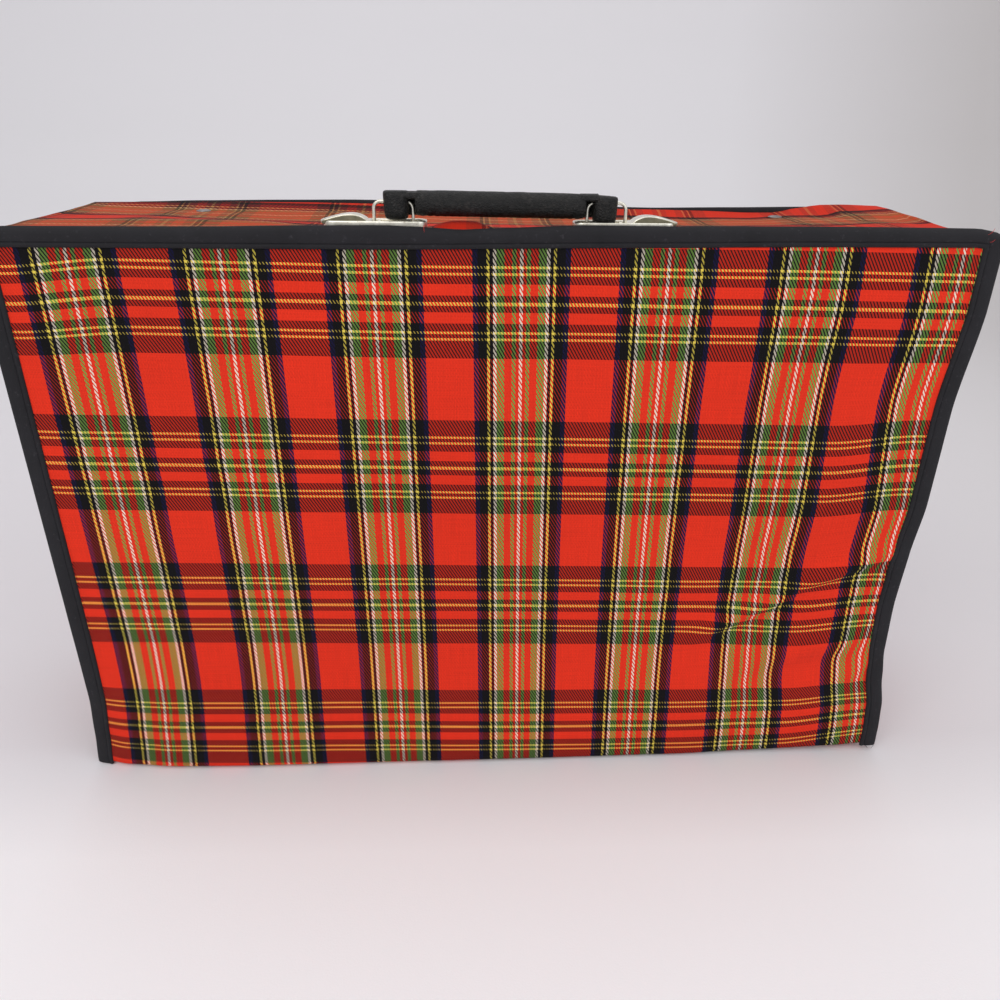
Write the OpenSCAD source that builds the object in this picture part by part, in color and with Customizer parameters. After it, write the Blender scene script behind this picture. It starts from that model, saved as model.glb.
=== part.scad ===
// Collapsible cloth suitcase, standing on its bottom.
// X runs along the case, Y from the lid (front) to the back, Z up. Millimetres.

/* [Case] */
// Width over the bound edges
case_w = 500; // [440:5:560]
// Height from the floor to the bound top edges
case_h = 330; // [280:5:380]
// Depth from the face of the lid to the face of the back
case_d = 130; // [115:1:150]

/* [Panels] */
// Thickness of the cloth on the lid and the back
cloth_t = 0.6; // [0.4:0.1:0.9]
// Thickness of the board in the lid and the back
board_t = 2; // [1.5:0.1:3]
// Thickness of the lining
lining_t = 0.4; // [0.2:0.1:0.8]
// Width of the binding tape on each face
binding_w = 10; // [8:0.5:13]
// Thickness of the binding tape
binding_t = 0.7; // [0.4:0.1:1]

/* [Walls] */
// How far the bound edges stand out past the side walls
side_step = 5; // [4:0.5:8]
// How far the bound edges stand above the top wall
top_step = 3; // [2.8:0.1:6]
// Thickness of the cloth on the walls
wall_cloth_t = 0.5; // [0.3:0.1:0.8]
// Thickness of the board in the walls
wall_board_t = 2; // [1.5:0.1:2.5]
// Depth of the stiff collar behind the lid
collar_d = 24; // [22:0.5:30]
// Largest turn of a wall half as the case folds flat
fold_turn = 78; // [60:1:78]
// Clearance between pieces that move past each other
gap = 0.3; // [0.25:0.05:0.4]

/* [Handle] */
// Radius of the grip at its middle
grip_r = 5.9; // [5.7:0.1:6.2]
// Radius of the grip at its ends
grip_end_r = 5.7; // [5.4:0.1:5.8]
// Distance of each ring from the middle of the case
ring_x = 52.25; // [51.5:0.25:53]
// Distance between the centre lines of a ring's posts
ring_w = 19; // [18.6:0.1:19.6]
// Distance from a ring's pivot to its top bar
ring_h = 10.4; // [10.2:0.1:11.2]
// Radius of the ring wire
wire_r = 0.85; // [0.75:0.05:0.9]
// Bend radius of a ring's upper corners
ring_bend_r = 3.4; // [2.6:0.1:3.4]
// Distance from the ring bar down to the middle of the grip
grip_drop = 1.2; // [1:0.1:1.3]
// Length of each end loop
loop_l = 12.4; // [11.5:0.1:12.6]
// Radius of the rounded top and bottom of each end loop
loop_r = 5; // [4.6:0.1:5.2]
// Height of each end loop
loop_h = 13; // [12.4:0.1:13.2]
// How far each loop sits inwards from the middle of its ring
loop_in = 0.4; // [0:0.1:0.4]
// Width of the steel band in the grip
core_w = 8; // [6:0.5:9]
// Thickness of the steel band in the grip
core_t = 1.4; // [1:0.1:1.8]

/* [Catch plates] */
// Distance of a plate's middle from the middle of the case
plate_x = 61; // [60.5:0.25:61.5]
// Length of a plate
plate_l = 50; // [49:0.5:51]
// Width of a plate
plate_w = 15; // [14.6:0.1:15.4]
// Thickness of a plate
plate_t = 0.8; // [0.6:0.1:0.9]
// Height of a plate's floor above the wall
plate_rise = 1.9; // [1.7:0.1:2.1]
// Height of a plate's rim above its floor
rim_h = 3.2; // [3:0.1:3.5]
// Height of the rim at the outer end, which lies under the lever's tip
end_rim_h = 1.2; // [0.9:0.1:1.2]
// Radius of the plate rivets
rivet_r = 1.2; // [0.9:0.1:1.4]
// Radius of the plate rivet heads
rivet_head_r = 2.2; // [1.9:0.1:2.4]
// Clearance of each running pin
pin_gap = 0.08; // [0.05:0.01:0.1]

/* [Levers] */
// Length of a lever from its pin to its tip
lever_l = 23; // [22:0.5:24]
// Width of a lever
lever_w = 10; // [9:0.5:10]
// Rise of a lever's arch above its pin
lever_rise = 3.5; // [3:0.1:4]
// Height of a lever's tip above its pin
tip_rise = 0.8; // [0.6:0.1:1.2]
// Thickness of a lever
lever_t = 0.8; // [0.6:0.1:1]
// Radius of a lever's pin
lever_pin_r = 0.7; // [0.5:0.05:0.8]
// Thickness of the leaf spring that bears on a lever's heel
leaf_t = 0.3; // [0.2:0.05:0.4]

/* [Top studs] */
// Distance of each stud from the middle of the case
stud_x = 173; // [140:1:180]
// Distance of each stud behind the crease
stud_y = 32; // [7:1:36]
// Radius of a stud's head
stud_r = 4.2; // [3.5:0.1:4.5]

/* [Hidden] */
$fn = 48;

half_w = case_w / 2;
front_y = -case_d / 2;
board_y = front_y + binding_t + cloth_t;
lining_y = board_y + board_t;
panel_in_y = lining_y + lining_t;
flange_in_y = panel_in_y + binding_t;
hinge_z = wall_cloth_t + gap;

// Outer faces and thickness of the walls
wall_x = half_w - side_step;
wall_z = case_h - top_step;
wall_t = wall_cloth_t + wall_board_t;

// Fold lines: behind the collar, in the middle and at the back
collar_front = flange_in_y + gap;
collar_back = collar_front + collar_d;
fold_back = -flange_in_y;
fold_mid = (collar_back + fold_back) / 2;
half_l = fold_mid - collar_back;
board_end = 1.5;
mitre_clear = wall_t * tan(fold_turn) + 2;
side_end = wall_t + gap + mitre_clear;
top_half_x = wall_x - wall_t - gap - 0.2;

// Catch plates, with the pivots of the rings and the levers
plate_y = collar_front + 0.6 + plate_w / 2;
plate_z = wall_z + plate_rise;
pivot_z = plate_z + 1.3;
bar_z = pivot_z + ring_h;
grip_z = bar_z - grip_drop;
eye_r = 1.75;
eye_w = 1.6;
eye_in = wire_r + gap + 0.3;
lever_x = plate_x + 3.4;
knuckle_r = lever_pin_r + pin_gap + 0.6;
lever_z = plate_z + leaf_t + gap + knuckle_r;
ear_t = 1;
ear_y = lever_w / 2 + gap;
rim_t = 0.8;
rivet_inset = rim_t + rivet_head_r + 0.2;
rivet_places = [plate_x - plate_l / 2 + rivet_inset, plate_x + plate_l / 2 - rivet_inset];
rivet_head_h = 0.5;
neck_low = wire_r + 0.4;
neck_high = 4.1;
neck_w = 8;
loop_top = bar_z + 4.5;
grip_half = ring_x - ring_w / 2 - wire_r - 0.5;

// Keeper tongue on the lid, under the nose of each lever
keeper_x = lever_x + 10.8;
keeper_w = 12;
tongue_w = 6;
keeper_t = 0.6;
tongue_z = plate_z + gap;
window_w = tongue_w + 1.6;
tongue_end = plate_y - lever_w / 2 + 2.6;
keeper_rivet_r = 0.5;
keeper_rivet_z = wall_z + 1.4;
stud_h = 0.9;
stud_shank_r = 1.2;

cloth_colour = [0.83, 0.13, 0.10];
card_colour = [0.62, 0.52, 0.40];
lining_colour = [0.80, 0.76, 0.68];
tape_colour = [0.18, 0.17, 0.19];
vinyl_colour = [0.07, 0.07, 0.08];
steel_colour = [0.78, 0.77, 0.73];

// A box given by two opposite corners
module block(low, high) {
  translate(low) cube(high - low);
}

// A rod along X, Y or Z from one point
module rod_x(from, length, r) {
  translate(from) rotate([0, 90, 0]) cylinder(h = length, r = r);
}
module rod_y(from, length, r) {
  translate(from) rotate([-90, 0, 0]) cylinder(h = length, r = r);
}
module rod_z(from, length, r) {
  translate(from) cylinder(h = length, r = r);
}

// Places a piece drawn on the right on the left as well, or instead
module on_left() {
  mirror([1, 0, 0]) children();
}
module on_back() {
  mirror([0, 1, 0]) children();
}

// A band of tape along the two sides and the top of a panel, open at the bottom
module tape_band(low, wide, y0, y1) {
  difference() {
    block([-half_w, y0, low], [half_w, y1, case_h]);
    block([wide - half_w, y0 - 1, low - 1], [half_w - wide, y1 + 1, case_h - wide]);
  }
}

// Layers of a panel, drawn for the lid and reused for the back
module panel_cloth(low) {
  color(cloth_colour) {
    block([binding_t - half_w, front_y + binding_t, low], [half_w - binding_t, board_y, case_h - binding_t]);
    block([binding_t - half_w, board_y, low], [half_w - binding_t, panel_in_y, low + cloth_t]);
  }
}
module panel_board(low) {
  color(card_colour) block([binding_t - half_w, board_y, low + cloth_t],
    [half_w - binding_t, lining_y, case_h - binding_t]);
}
module panel_lining(low) {
  color(lining_colour) block([binding_t - half_w, lining_y, low + cloth_t],
    [half_w - binding_t, panel_in_y, case_h - binding_t]);
}
module panel_binding(low) {
  color(tape_colour) {
    tape_band(low, binding_w, front_y, front_y + binding_t);
    tape_band(low, binding_t, front_y, flange_in_y);
    tape_band(low, binding_w, panel_in_y, flange_in_y);
  }
}

// Holes for the keeper rivets
module keeper_rods(r, y0, y1) {
  for (side = [-1, 1], place = [-1, 1])
    rod_y([side * (keeper_x + place * (tongue_w / 2 + 1.5)), y0, keeper_rivet_z], y1 - y0, r);
}

// Lid
module lid_cloth() {
  panel_cloth(hinge_z);
}
module lid_board() {
  difference() {
    panel_board(hinge_z);
    keeper_rods(keeper_rivet_r, board_y - 1, lining_y + 1);
  }
}
module lid_lining() {
  difference() {
    panel_lining(hinge_z);
    keeper_rods(keeper_rivet_r, lining_y - 1, panel_in_y + 1);
  }
}
module lid_binding() {
  difference() {
    panel_binding(hinge_z);
    keeper_rods(keeper_rivet_r, panel_in_y - 0.1, flange_in_y + 1);
  }
}
module keeper() {
  color(steel_colour) difference() {
    union() {
      block([keeper_x - keeper_w / 2, flange_in_y, wall_z + 0.4],
        [keeper_x + keeper_w / 2, flange_in_y + keeper_t, tongue_z + keeper_t]);
      block([keeper_x - tongue_w / 2, flange_in_y, tongue_z],
        [keeper_x + tongue_w / 2, tongue_end, tongue_z + keeper_t]);
    }
    keeper_rods(keeper_rivet_r, flange_in_y - 1, flange_in_y + keeper_t + 0.1);
  }
}
module keeper_right() {
  keeper();
}
module keeper_left() {
  on_left() keeper();
}
module keeper_rivets() {
  color(steel_colour) keeper_rods(keeper_rivet_r, board_y, flange_in_y + keeper_t);
}

// Back
module back_cloth() {
  on_back() panel_cloth(0);
}
module back_board() {
  on_back() panel_board(0);
}
module back_lining() {
  on_back() panel_lining(0);
}
module back_binding() {
  on_back() panel_binding(0);
}

// A four-sided tube of wall between two depths
module wall_ring(out, thick, y0, y1) {
  difference() {
    block([out - wall_x, y0, out], [wall_x - out, y1, wall_z - out]);
    block([out + thick - wall_x, y0 - 1, out + thick], [wall_x - out - thick, y1 + 1, wall_z - out - thick]);
  }
}

module rivet_rods(r, z0, z1) {
  for (side = [-1, 1], x = rivet_places) rod_z([side * x, plate_y, z0], z1 - z0, r);
}

// Collar: the stiff front margin of the four walls
module collar_board() {
  color(card_colour) difference() {
    wall_ring(wall_cloth_t, wall_board_t, collar_front, collar_back);
    rivet_rods(rivet_r, wall_z - wall_t - 1, wall_z + 1);
  }
}
module collar_cloth() {
  color(cloth_colour) difference() {
    block([-wall_x, collar_front, wall_cloth_t], [wall_x, collar_back, wall_z]);
    block([wall_cloth_t - wall_x, collar_front - 1, 0],
      [wall_x - wall_cloth_t, collar_back + 1, wall_z - wall_cloth_t]);
    rivet_rods(rivet_r, wall_z - wall_t - 1, wall_z + 1);
  }
}

// Cloth under the collar, which runs on under the lid and hinges it
module hinge_cloth() {
  color(cloth_colour) block([-wall_x, front_y, 0], [wall_x, collar_back, wall_cloth_t]);
}

// Outline of a plate, its rounded ends drawn in by a margin
module plate_outline(margin) {
  r = 5 - margin;
  x = plate_l / 2 - 5;
  y = plate_w / 2 - 5;
  translate([plate_x, plate_y]) union() {
    square([2 * x, 2 * (y + r)], center = true);
    square([2 * (x + r), 2 * y], center = true);
    for (i = [-1, 1], j = [-1, 1]) translate([i * x, j * y]) circle(r);
  }
}
// Rim of a plate: lower at the outer end, with a window in front for the keeper tongue
module rim() {
  end_x = plate_x + plate_l / 2 - 5;
  low_y = lever_w / 2 + 3 * gap;
  difference() {
    translate([0, 0, wall_z]) linear_extrude(plate_rise + rim_h) difference() {
      plate_outline(0);
      plate_outline(rim_t);
    }
    block([end_x, plate_y - low_y, plate_z + end_rim_h], [end_x + 10, plate_y + low_y, plate_z + rim_h + 1]);
    block([keeper_x - window_w / 2, plate_y - plate_w, plate_z],
      [keeper_x + window_w / 2, plate_y - plate_w / 2 + rim_t, tongue_z + keeper_t + gap]);
  }
}
module catch_plate() {
  eye_inner = ring_x - ring_w / 2 + eye_in;
  eye_outer = ring_x + ring_w / 2 - eye_in - eye_w;
  color(steel_colour) difference() {
    union() {
      translate([0, 0, plate_z - plate_t]) linear_extrude(plate_t) plate_outline(0);
      rim();
      for (x = [eye_inner, eye_outer]) {
        rod_x([x, plate_y, pivot_z], eye_w, eye_r);
        block([x, plate_y - eye_r, plate_z - plate_t], [x + eye_w, plate_y + eye_r, pivot_z]);
      }
      for (side = [-1, 1]) {
        low_y = plate_y + side * (ear_y + ear_t / 2) - ear_t / 2;
        rod_y([lever_x, low_y, lever_z], ear_t, knuckle_r);
        block([lever_x - knuckle_r, low_y, plate_z - plate_t], [lever_x + knuckle_r, low_y + ear_t, lever_z]);
      }
    }
    rod_x([ring_x - ring_w / 2, plate_y, pivot_z], ring_w, wire_r + pin_gap);
    rod_y([lever_x, plate_y - plate_w, lever_z], 2 * plate_w, lever_pin_r);
    rivet_rods(rivet_r, wall_z - 1, plate_z + 1);
  }
}
module catch_plate_right() {
  catch_plate();
}
module catch_plate_left() {
  on_left() catch_plate();
}
module plate_rivets() {
  color(steel_colour) {
    rivet_rods(rivet_r, wall_z - wall_t - rivet_head_h, plate_z + rivet_head_h);
    rivet_rods(rivet_head_r, plate_z, plate_z + rivet_head_h);
    rivet_rods(rivet_head_r + 1, wall_z - wall_t - rivet_head_h, wall_z - wall_t);
  }
}

// Lever, its pin and the leaf spring under it
function arch(t) = tip_rise * t + lever_rise * sin(180 * pow(t, 0.62));
module lever() {
  steps = 24;
  skirt_low = -0.5;
  skirt_t = 0.8;
  top = [for (i = [0:steps]) [lever_l * i / steps, arch(i / steps) + lever_t / 2]];
  low = [for (i = [steps:-1:0]) [lever_l * i / steps, arch(i / steps) - lever_t / 2]];
  nose_x = keeper_x - lever_x;
  nose_z = tongue_z + keeper_t + gap - lever_z;
  color(steel_colour) translate([lever_x, plate_y, lever_z]) difference() {
    union() {
      translate([0, lever_w / 2, 0]) rotate([90, 0, 0]) linear_extrude(lever_w) polygon(concat(top, low));
      rod_y([0, -lever_w / 2, 0], lever_w, knuckle_r);
      for (y = [skirt_t - lever_w / 2, lever_w / 2]) translate([0, y, 0]) rotate([90, 0, 0])
        linear_extrude(skirt_t) polygon(concat(top, [[lever_l - 2.5, skirt_low], [0, skirt_low]]));
      block([nose_x - 1.5, -lever_w / 2, nose_z], [nose_x + 1.5, 2 - lever_w / 2, lever_rise]);
    }
    rod_y([0, -lever_w, 0], 2 * lever_w, lever_pin_r + pin_gap);
  }
}
module lever_right() {
  lever();
}
module lever_left() {
  on_left() lever();
}
module lever_pins() {
  color(steel_colour) for (side = [-1, 1])
    rod_y([side * lever_x, plate_y - ear_y - ear_t, lever_z], 2 * (ear_y + ear_t), lever_pin_r);
}
module lever_spring() {
  color(steel_colour) block([lever_x - knuckle_r, plate_y - 2, plate_z],
    [lever_x + 9, plate_y + 2, plate_z + leaf_t]);
}
module lever_spring_right() {
  lever_spring();
}
module lever_spring_left() {
  on_left() lever_spring();
}

// A quarter bend of the ring wire, from a post up to the bar
module wire_bend() {
  rotate([90, 0, 0]) rotate_extrude(angle = 90) translate([ring_bend_r, 0]) circle(wire_r);
}
module ring_half() {
  post = ring_w / 2;
  foot = eye_in + eye_w + 0.3;
  rod_x([0, plate_y, bar_z], post - ring_bend_r, wire_r);
  translate([post - ring_bend_r, plate_y, bar_z - ring_bend_r]) wire_bend();
  rod_z([post, plate_y, pivot_z], ring_h - ring_bend_r, wire_r);
  translate([post, plate_y, pivot_z]) sphere(wire_r);
  rod_x([post - foot, plate_y, pivot_z], foot, wire_r);
}
module ring() {
  color(steel_colour) translate([ring_x, 0, 0]) {
    ring_half();
    mirror([1, 0, 0]) ring_half();
  }
}
module ring_right() {
  ring();
}
module ring_left() {
  on_left() ring();
}

// Grip: a tapering bar with a neck over each ring's inner post and a loop on its bar
module grip_end() {
  loop_x = ring_x - loop_in - loop_l / 2;
  high_z = loop_top - loop_r;
  low_z = loop_top - loop_h + loop_r;
  rod_x([loop_x, plate_y, high_z], loop_l, loop_r);
  rod_x([loop_x, plate_y, low_z], loop_l, loop_r);
  block([loop_x, plate_y - loop_r, low_z], [loop_x + loop_l, plate_y + loop_r, high_z]);
  block([grip_half - 3, plate_y - neck_w / 2, bar_z + neck_low],
    [loop_x + 3, plate_y + neck_w / 2, bar_z + neck_high]);
  // Behind the ring's post the neck reaches down, clear of the post as the grip rolls
  translate([grip_half - 3, plate_y, bar_z]) rotate([90, 0, 90]) linear_extrude(loop_x + 6 - grip_half)
    polygon([[1.6, neck_low + 0.5], [1.6, 0], [3.6, -6.4], [4.6, -6.4], [4.6, 1], [3.6, neck_low + 0.5]]);
}
module band() {
  block([3 - grip_half, plate_y - core_w / 2, grip_z - core_t / 2],
    [grip_half - 3, plate_y + core_w / 2, grip_z + core_t / 2]);
}
module grip_core() {
  color(steel_colour) band();
}
module grip_cover() {
  taper = 12;
  color(vinyl_colour) difference() {
    union() {
      translate([-grip_half, plate_y, grip_z]) rotate([0, 90, 0]) rotate_extrude() polygon([[0, 0],
        [grip_end_r, 0], [grip_r, taper], [grip_r, 2 * grip_half - taper],
        [grip_end_r, 2 * grip_half], [0, 2 * grip_half]]);
      grip_end();
      on_left() grip_end();
    }
    for (side = [-1, 1])
      rod_x([side * (ring_x - loop_in) - loop_l / 2 - 1, plate_y, bar_z], loop_l + 2, wire_r + pin_gap);
    band();
  }
}

// Half of a side wall: its ends are cut at 45 degrees so that it passes the top and the bottom
module side_half(x0, x1, end) {
  low = side_end + end;
  far_s = half_l - gap;
  rotate([90, 0, 90]) translate([0, 0, x0]) linear_extrude(x1 - x0) polygon([
    [collar_back + end, low], [collar_back + far_s, side_end + far_s],
    [collar_back + far_s, wall_z - side_end - far_s], [collar_back + end, wall_z - low]]);
}
module to_rear() {
  translate([0, 2 * fold_mid, 0]) mirror([0, 1, 0]) children();
}
module side_board() {
  color(card_colour) side_half(wall_x - wall_t, wall_x - wall_cloth_t, board_end);
}
module side_cloth() {
  color(cloth_colour) side_half(wall_x - wall_cloth_t, wall_x, gap);
}
module right_front_board() {
  side_board();
}
module right_front_cloth() {
  side_cloth();
}
module right_rear_board() {
  to_rear() side_board();
}
module right_rear_cloth() {
  to_rear() side_cloth();
}
module left_front_board() {
  on_left() side_board();
}
module left_front_cloth() {
  on_left() side_cloth();
}
module left_rear_board() {
  on_left() to_rear() side_board();
}
module left_rear_cloth() {
  on_left() to_rear() side_cloth();
}

// Half of the top or the bottom wall
module flat_half(z0, z1, end) {
  block([-top_half_x, collar_back + end, z0], [top_half_x, fold_mid - gap, z1]);
}
module stud_rods(r, z0, z1) {
  for (side = [-1, 1]) rod_z([side * stud_x, fold_mid + stud_y, z0], z1 - z0, r);
}
module top_front_board() {
  color(card_colour) flat_half(wall_z - wall_t, wall_z - wall_cloth_t, board_end);
}
module top_front_cloth() {
  color(cloth_colour) flat_half(wall_z - wall_cloth_t, wall_z, gap);
}
module top_rear_board() {
  difference() {
    to_rear() top_front_board();
    stud_rods(stud_shank_r, wall_z - wall_t - 1, wall_z);
  }
}
module top_rear_cloth() {
  difference() {
    to_rear() top_front_cloth();
    stud_rods(stud_shank_r, wall_z - wall_t, wall_z + 1);
  }
}
module top_studs() {
  color(steel_colour) {
    stud_rods(stud_shank_r, wall_z - wall_t - rivet_head_h, wall_z + stud_h);
    stud_rods(stud_r, wall_z, wall_z + stud_h);
    stud_rods(rivet_head_r, wall_z - wall_t - rivet_head_h, wall_z - wall_t);
  }
}
module bottom_front_board() {
  color(card_colour) flat_half(wall_cloth_t, wall_t, board_end);
}
module bottom_front_cloth() {
  color(cloth_colour) flat_half(0, wall_cloth_t, gap);
}
module bottom_rear_board() {
  to_rear() bottom_front_board();
}
module bottom_rear_cloth() {
  to_rear() bottom_front_cloth();
}

// Loose triangle of cloth that closes a corner of a side wall, drawn for the top right
module web() {
  low = wall_z - side_end + gap;
  color(cloth_colour) rotate([90, 0, 90]) translate([0, 0, wall_x - wall_cloth_t])
    linear_extrude(wall_cloth_t) polygon([[collar_back + gap, wall_z], [collar_back + gap, low],
      [fold_mid, low - half_l + gap], [fold_back - gap, low], [fold_back - gap, wall_z]]);
}
module to_bottom() {
  translate([0, 0, wall_z]) mirror([0, 0, 1]) children();
}
module web_top_right() {
  web();
}
module web_top_left() {
  on_left() web();
}
module web_bottom_right() {
  to_bottom() web();
}
module web_bottom_left() {
  on_left() to_bottom() web();
}

lid_cloth();
lid_board();
lid_lining();
lid_binding();
keeper_left();
keeper_right();
keeper_rivets();
back_cloth();
back_board();
back_lining();
back_binding();
collar_board();
collar_cloth();
hinge_cloth();
catch_plate_left();
catch_plate_right();
plate_rivets();
lever_pins();
lever_spring_left();
lever_spring_right();
lever_left();
lever_right();
ring_left();
ring_right();
grip_cover();
grip_core();
left_front_board();
left_front_cloth();
left_rear_board();
left_rear_cloth();
right_front_board();
right_front_cloth();
right_rear_board();
right_rear_cloth();
top_front_board();
top_front_cloth();
top_rear_board();
top_rear_cloth();
top_studs();
bottom_front_board();
bottom_front_cloth();
bottom_rear_board();
bottom_rear_cloth();
web_top_left();
web_top_right();
web_bottom_left();
web_bottom_right();
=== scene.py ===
import math
import bpy
import bmesh
from mathutils import Matrix, Vector, noise


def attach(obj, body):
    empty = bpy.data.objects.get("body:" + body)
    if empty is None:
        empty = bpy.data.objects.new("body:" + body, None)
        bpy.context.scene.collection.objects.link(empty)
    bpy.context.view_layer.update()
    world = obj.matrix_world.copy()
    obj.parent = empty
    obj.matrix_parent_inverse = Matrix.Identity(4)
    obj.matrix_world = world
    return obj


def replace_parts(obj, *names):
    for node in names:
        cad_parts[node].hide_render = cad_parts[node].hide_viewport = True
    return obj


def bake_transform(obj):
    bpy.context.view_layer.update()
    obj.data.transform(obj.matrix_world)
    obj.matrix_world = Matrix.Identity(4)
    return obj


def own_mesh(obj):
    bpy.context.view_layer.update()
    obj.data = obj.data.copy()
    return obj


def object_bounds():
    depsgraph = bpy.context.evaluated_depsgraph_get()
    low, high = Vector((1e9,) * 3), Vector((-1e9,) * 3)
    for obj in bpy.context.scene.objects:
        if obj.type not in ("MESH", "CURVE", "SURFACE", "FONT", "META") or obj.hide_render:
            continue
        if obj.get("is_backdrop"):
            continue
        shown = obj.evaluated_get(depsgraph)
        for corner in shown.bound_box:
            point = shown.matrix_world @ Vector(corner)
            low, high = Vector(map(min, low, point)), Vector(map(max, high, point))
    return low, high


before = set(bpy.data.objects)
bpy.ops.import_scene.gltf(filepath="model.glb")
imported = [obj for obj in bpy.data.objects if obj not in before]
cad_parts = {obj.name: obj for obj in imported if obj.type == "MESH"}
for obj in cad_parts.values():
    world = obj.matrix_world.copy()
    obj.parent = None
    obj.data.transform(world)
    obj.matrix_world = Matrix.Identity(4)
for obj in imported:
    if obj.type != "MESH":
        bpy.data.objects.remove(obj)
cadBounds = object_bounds()
scene = bpy.context.scene

# Shapes below are worked out in millimetres and turned to metres when a mesh is made
mm = 0.001
case = {
    "halfWidth": 250.0, "height": 330.0, "front": -65.0, "flangeIn": -60.6, "hingeZ": 0.8,
    "wallX": 245.0, "wallZ": 327.0, "cloth": 0.5,
    "collarFront": -60.3, "collarBack": -36.3, "crease": 12.15, "rearEnd": 60.35,
    "sideEnd": 16.56, "topHalfX": 242.0, "plateY": -52.2,
}


# Small helpers

def smooth(a, b, x):
    t = min(1.0, max(0.0, (x - a) / (b - a)))
    return t * t * (3 - 2 * t)


def along(points, x):  # value at x of a smooth line through given points
    if x <= points[0][0]:
        return points[0][1]
    for (x0, y0), (x1, y1) in zip(points, points[1:]):
        if x <= x1:
            t = (x - x0) / (x1 - x0)
            return y0 + (y1 - y0) * (0.5 * t + 0.5 * t * t * (3 - 2 * t))
    return points[-1][1]


def steps(a, b, size):
    n = max(1, math.ceil(abs(b - a) / size - 1e-6))
    return [a + (b - a) * i / n for i in range(n + 1)]


def ripple(x, y, size, seed):  # soft noise, about -1 to 1
    return noise.noise(Vector((x / size, y / size, seed)))


def sRgb(r, g, b):
    def one(v):
        v /= 255
        return v / 12.92 if v <= 0.04045 else ((v + 0.055) / 1.055) ** 2.4
    return (one(r), one(g), one(b), 1.0)


# How the real case has settled out of true

settled = {
    "leftBow": [(0, -4.5), (25, -2.2), (50, -0.3), (330, 0.0)],
    "rightBow": [(0, 5.5), (15, 5.0), (35, 3.5), (60, -1.0), (80, -4.0), (115, -5.6), (150, -4.4),
                 (180, -1.8), (240, -2.3), (290, 2.0), (330, 1.6)],
    "topRise": [(-60, 0.0), (60, 1.5), (160, 2.6), (236, 2.8), (250, 0.6)],
    "topDrop": [(-250, 1.7), (-226, 1.2), (-152, 1.0), (-90, 0.0), (-56, -0.2), (-38, 0.6), (-19, 1.9),
                (0, 1.3), (38, 0.4), (95, 1.0), (170, 1.4), (247, 2.0)],
    "frontFoot": [(-250, -0.5), (-229, -5.6), (-200, -8.4), (-150, -9.0), (-100, -8.0), (0, -6.8),
                  (112, -4.8), (166, -2.8), (250, -1.5)],
    "footRise": [(120, 0.0), (166, 0.6), (220, 2.6), (250, 4.2)],
    "backTop": [(-215, 0.0), (-180, 0.9), (-134, 1.6), (-85, 2.0), (100, -1.3), (152, -0.7), (200, 0.0)],
    "cornerTop": 3.2, "cornerFoot": 6.0, "slide": -2.4, "flangeDrop": 1.3, "puff": 0.9, "boardDrop": 0.3,
    # height of the slack top wall above or below its true place, along four lines from front to back
    "topLines": [
        (-24.0, [(-245, 0.6), (-200, 1.1), (-153, 1.8), (-122, 1.1), (-100, -0.8), (0, -1.2), (150, -1.0),
                 (190, -0.4), (217, 0.4), (245, 0.2)]),
        (18.0, [(-246, 2.2), (-241, 0.0), (-225, -0.3), (-193, -0.2), (-168, -1.6), (-135, -2.9), (-60, -3.2),
                (40, -3.7), (125, -3.1), (155, -2.6), (175, -1.5), (195, -0.9), (217, -0.3), (240, -0.1),
                (246, 3.8)]),
        (46.0, [(-245, 2.3), (-230, 0.9), (-200, -0.2), (-110, -0.5), (0, -1.8), (42, -2.5), (125, -2.5),
                (155, -2.1), (180, -0.8), (203, -0.2), (213, 3.0), (245, 4.4)]),
        (60.6, [(-245, 3.0), (-206, 3.4), (-170, 3.8), (-110, 3.8), (0, 2.4), (60, 1.6), (100, 1.4),
                (132, 0.9), (161, 0.0), (178, 0.2), (192, 3.0), (205, 5.0), (220, 5.3), (245, 4.6)]),
    ],
    "pouch": {"x": -19.0, "y": -50.0, "halfX": 14, "halfY": 8.5, "rise": 4.6, "tuck": 34},
}


def slide(x):  # the cloth has crept to the left of the metalwork
    return settled["slide"] * smooth(0.3, 1.0, abs(x) / case["halfWidth"])


def bow(x, z, share):
    line = settled["rightBow"] if x > 0 else settled["leftBow"]
    return along(line, z) * smooth(0.3, 1.0, abs(x) / case["halfWidth"]) * share + slide(x)


def settlePanel(p, share=1.0):
    x, y, z = p
    lift = along(settled["topRise"], x) * smooth(190, 330, z) * share
    lift -= along(settled["topDrop"], x) * smooth(321.5, 330, z) * share
    lift -= settled["flangeDrop"] * smooth(321, 330, z) * (1 - smooth(-65, -61, y))
    foot = along(settled["footRise"], x) * (1 - smooth(0, 60, z)) * share
    push = along(settled["frontFoot"], x) * (1 - smooth(0, 95, z)) * (1 - smooth(-63.9, -61.2, y)) * share
    return (x + bow(x, z, share), y + push, z + lift + foot)


def settleInside(p):  # the lid's board and lining stay behind the loose foot of the cloth
    x, y, z = settlePanel(p)
    return (x, p[1], z)


def settleBack(p):
    x, y, z = settlePanel((p[0], case["flangeIn"], p[2]), 0.35)
    x -= math.copysign(4.6 * smooth(190, 248, abs(x)) * smooth(240, 328, z), x)
    lift = (z - p[2]) * 0.3 - 2.6 * smooth(215, 250, abs(p[0])) * smooth(300, 330, p[2])
    return (x, p[1], p[2] + lift + along(settled["backTop"], p[0]) * smooth(250, 330, p[2]))


def pouch(x, y):  # the loose fold of cloth below the grip, 0 to 1
    fold = settled["pouch"]
    across, deep = (x - fold["x"]) / fold["halfX"], (y - fold["y"]) / fold["halfY"]
    return math.exp(-across ** 4) * math.exp(-deep ** 4)


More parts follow.
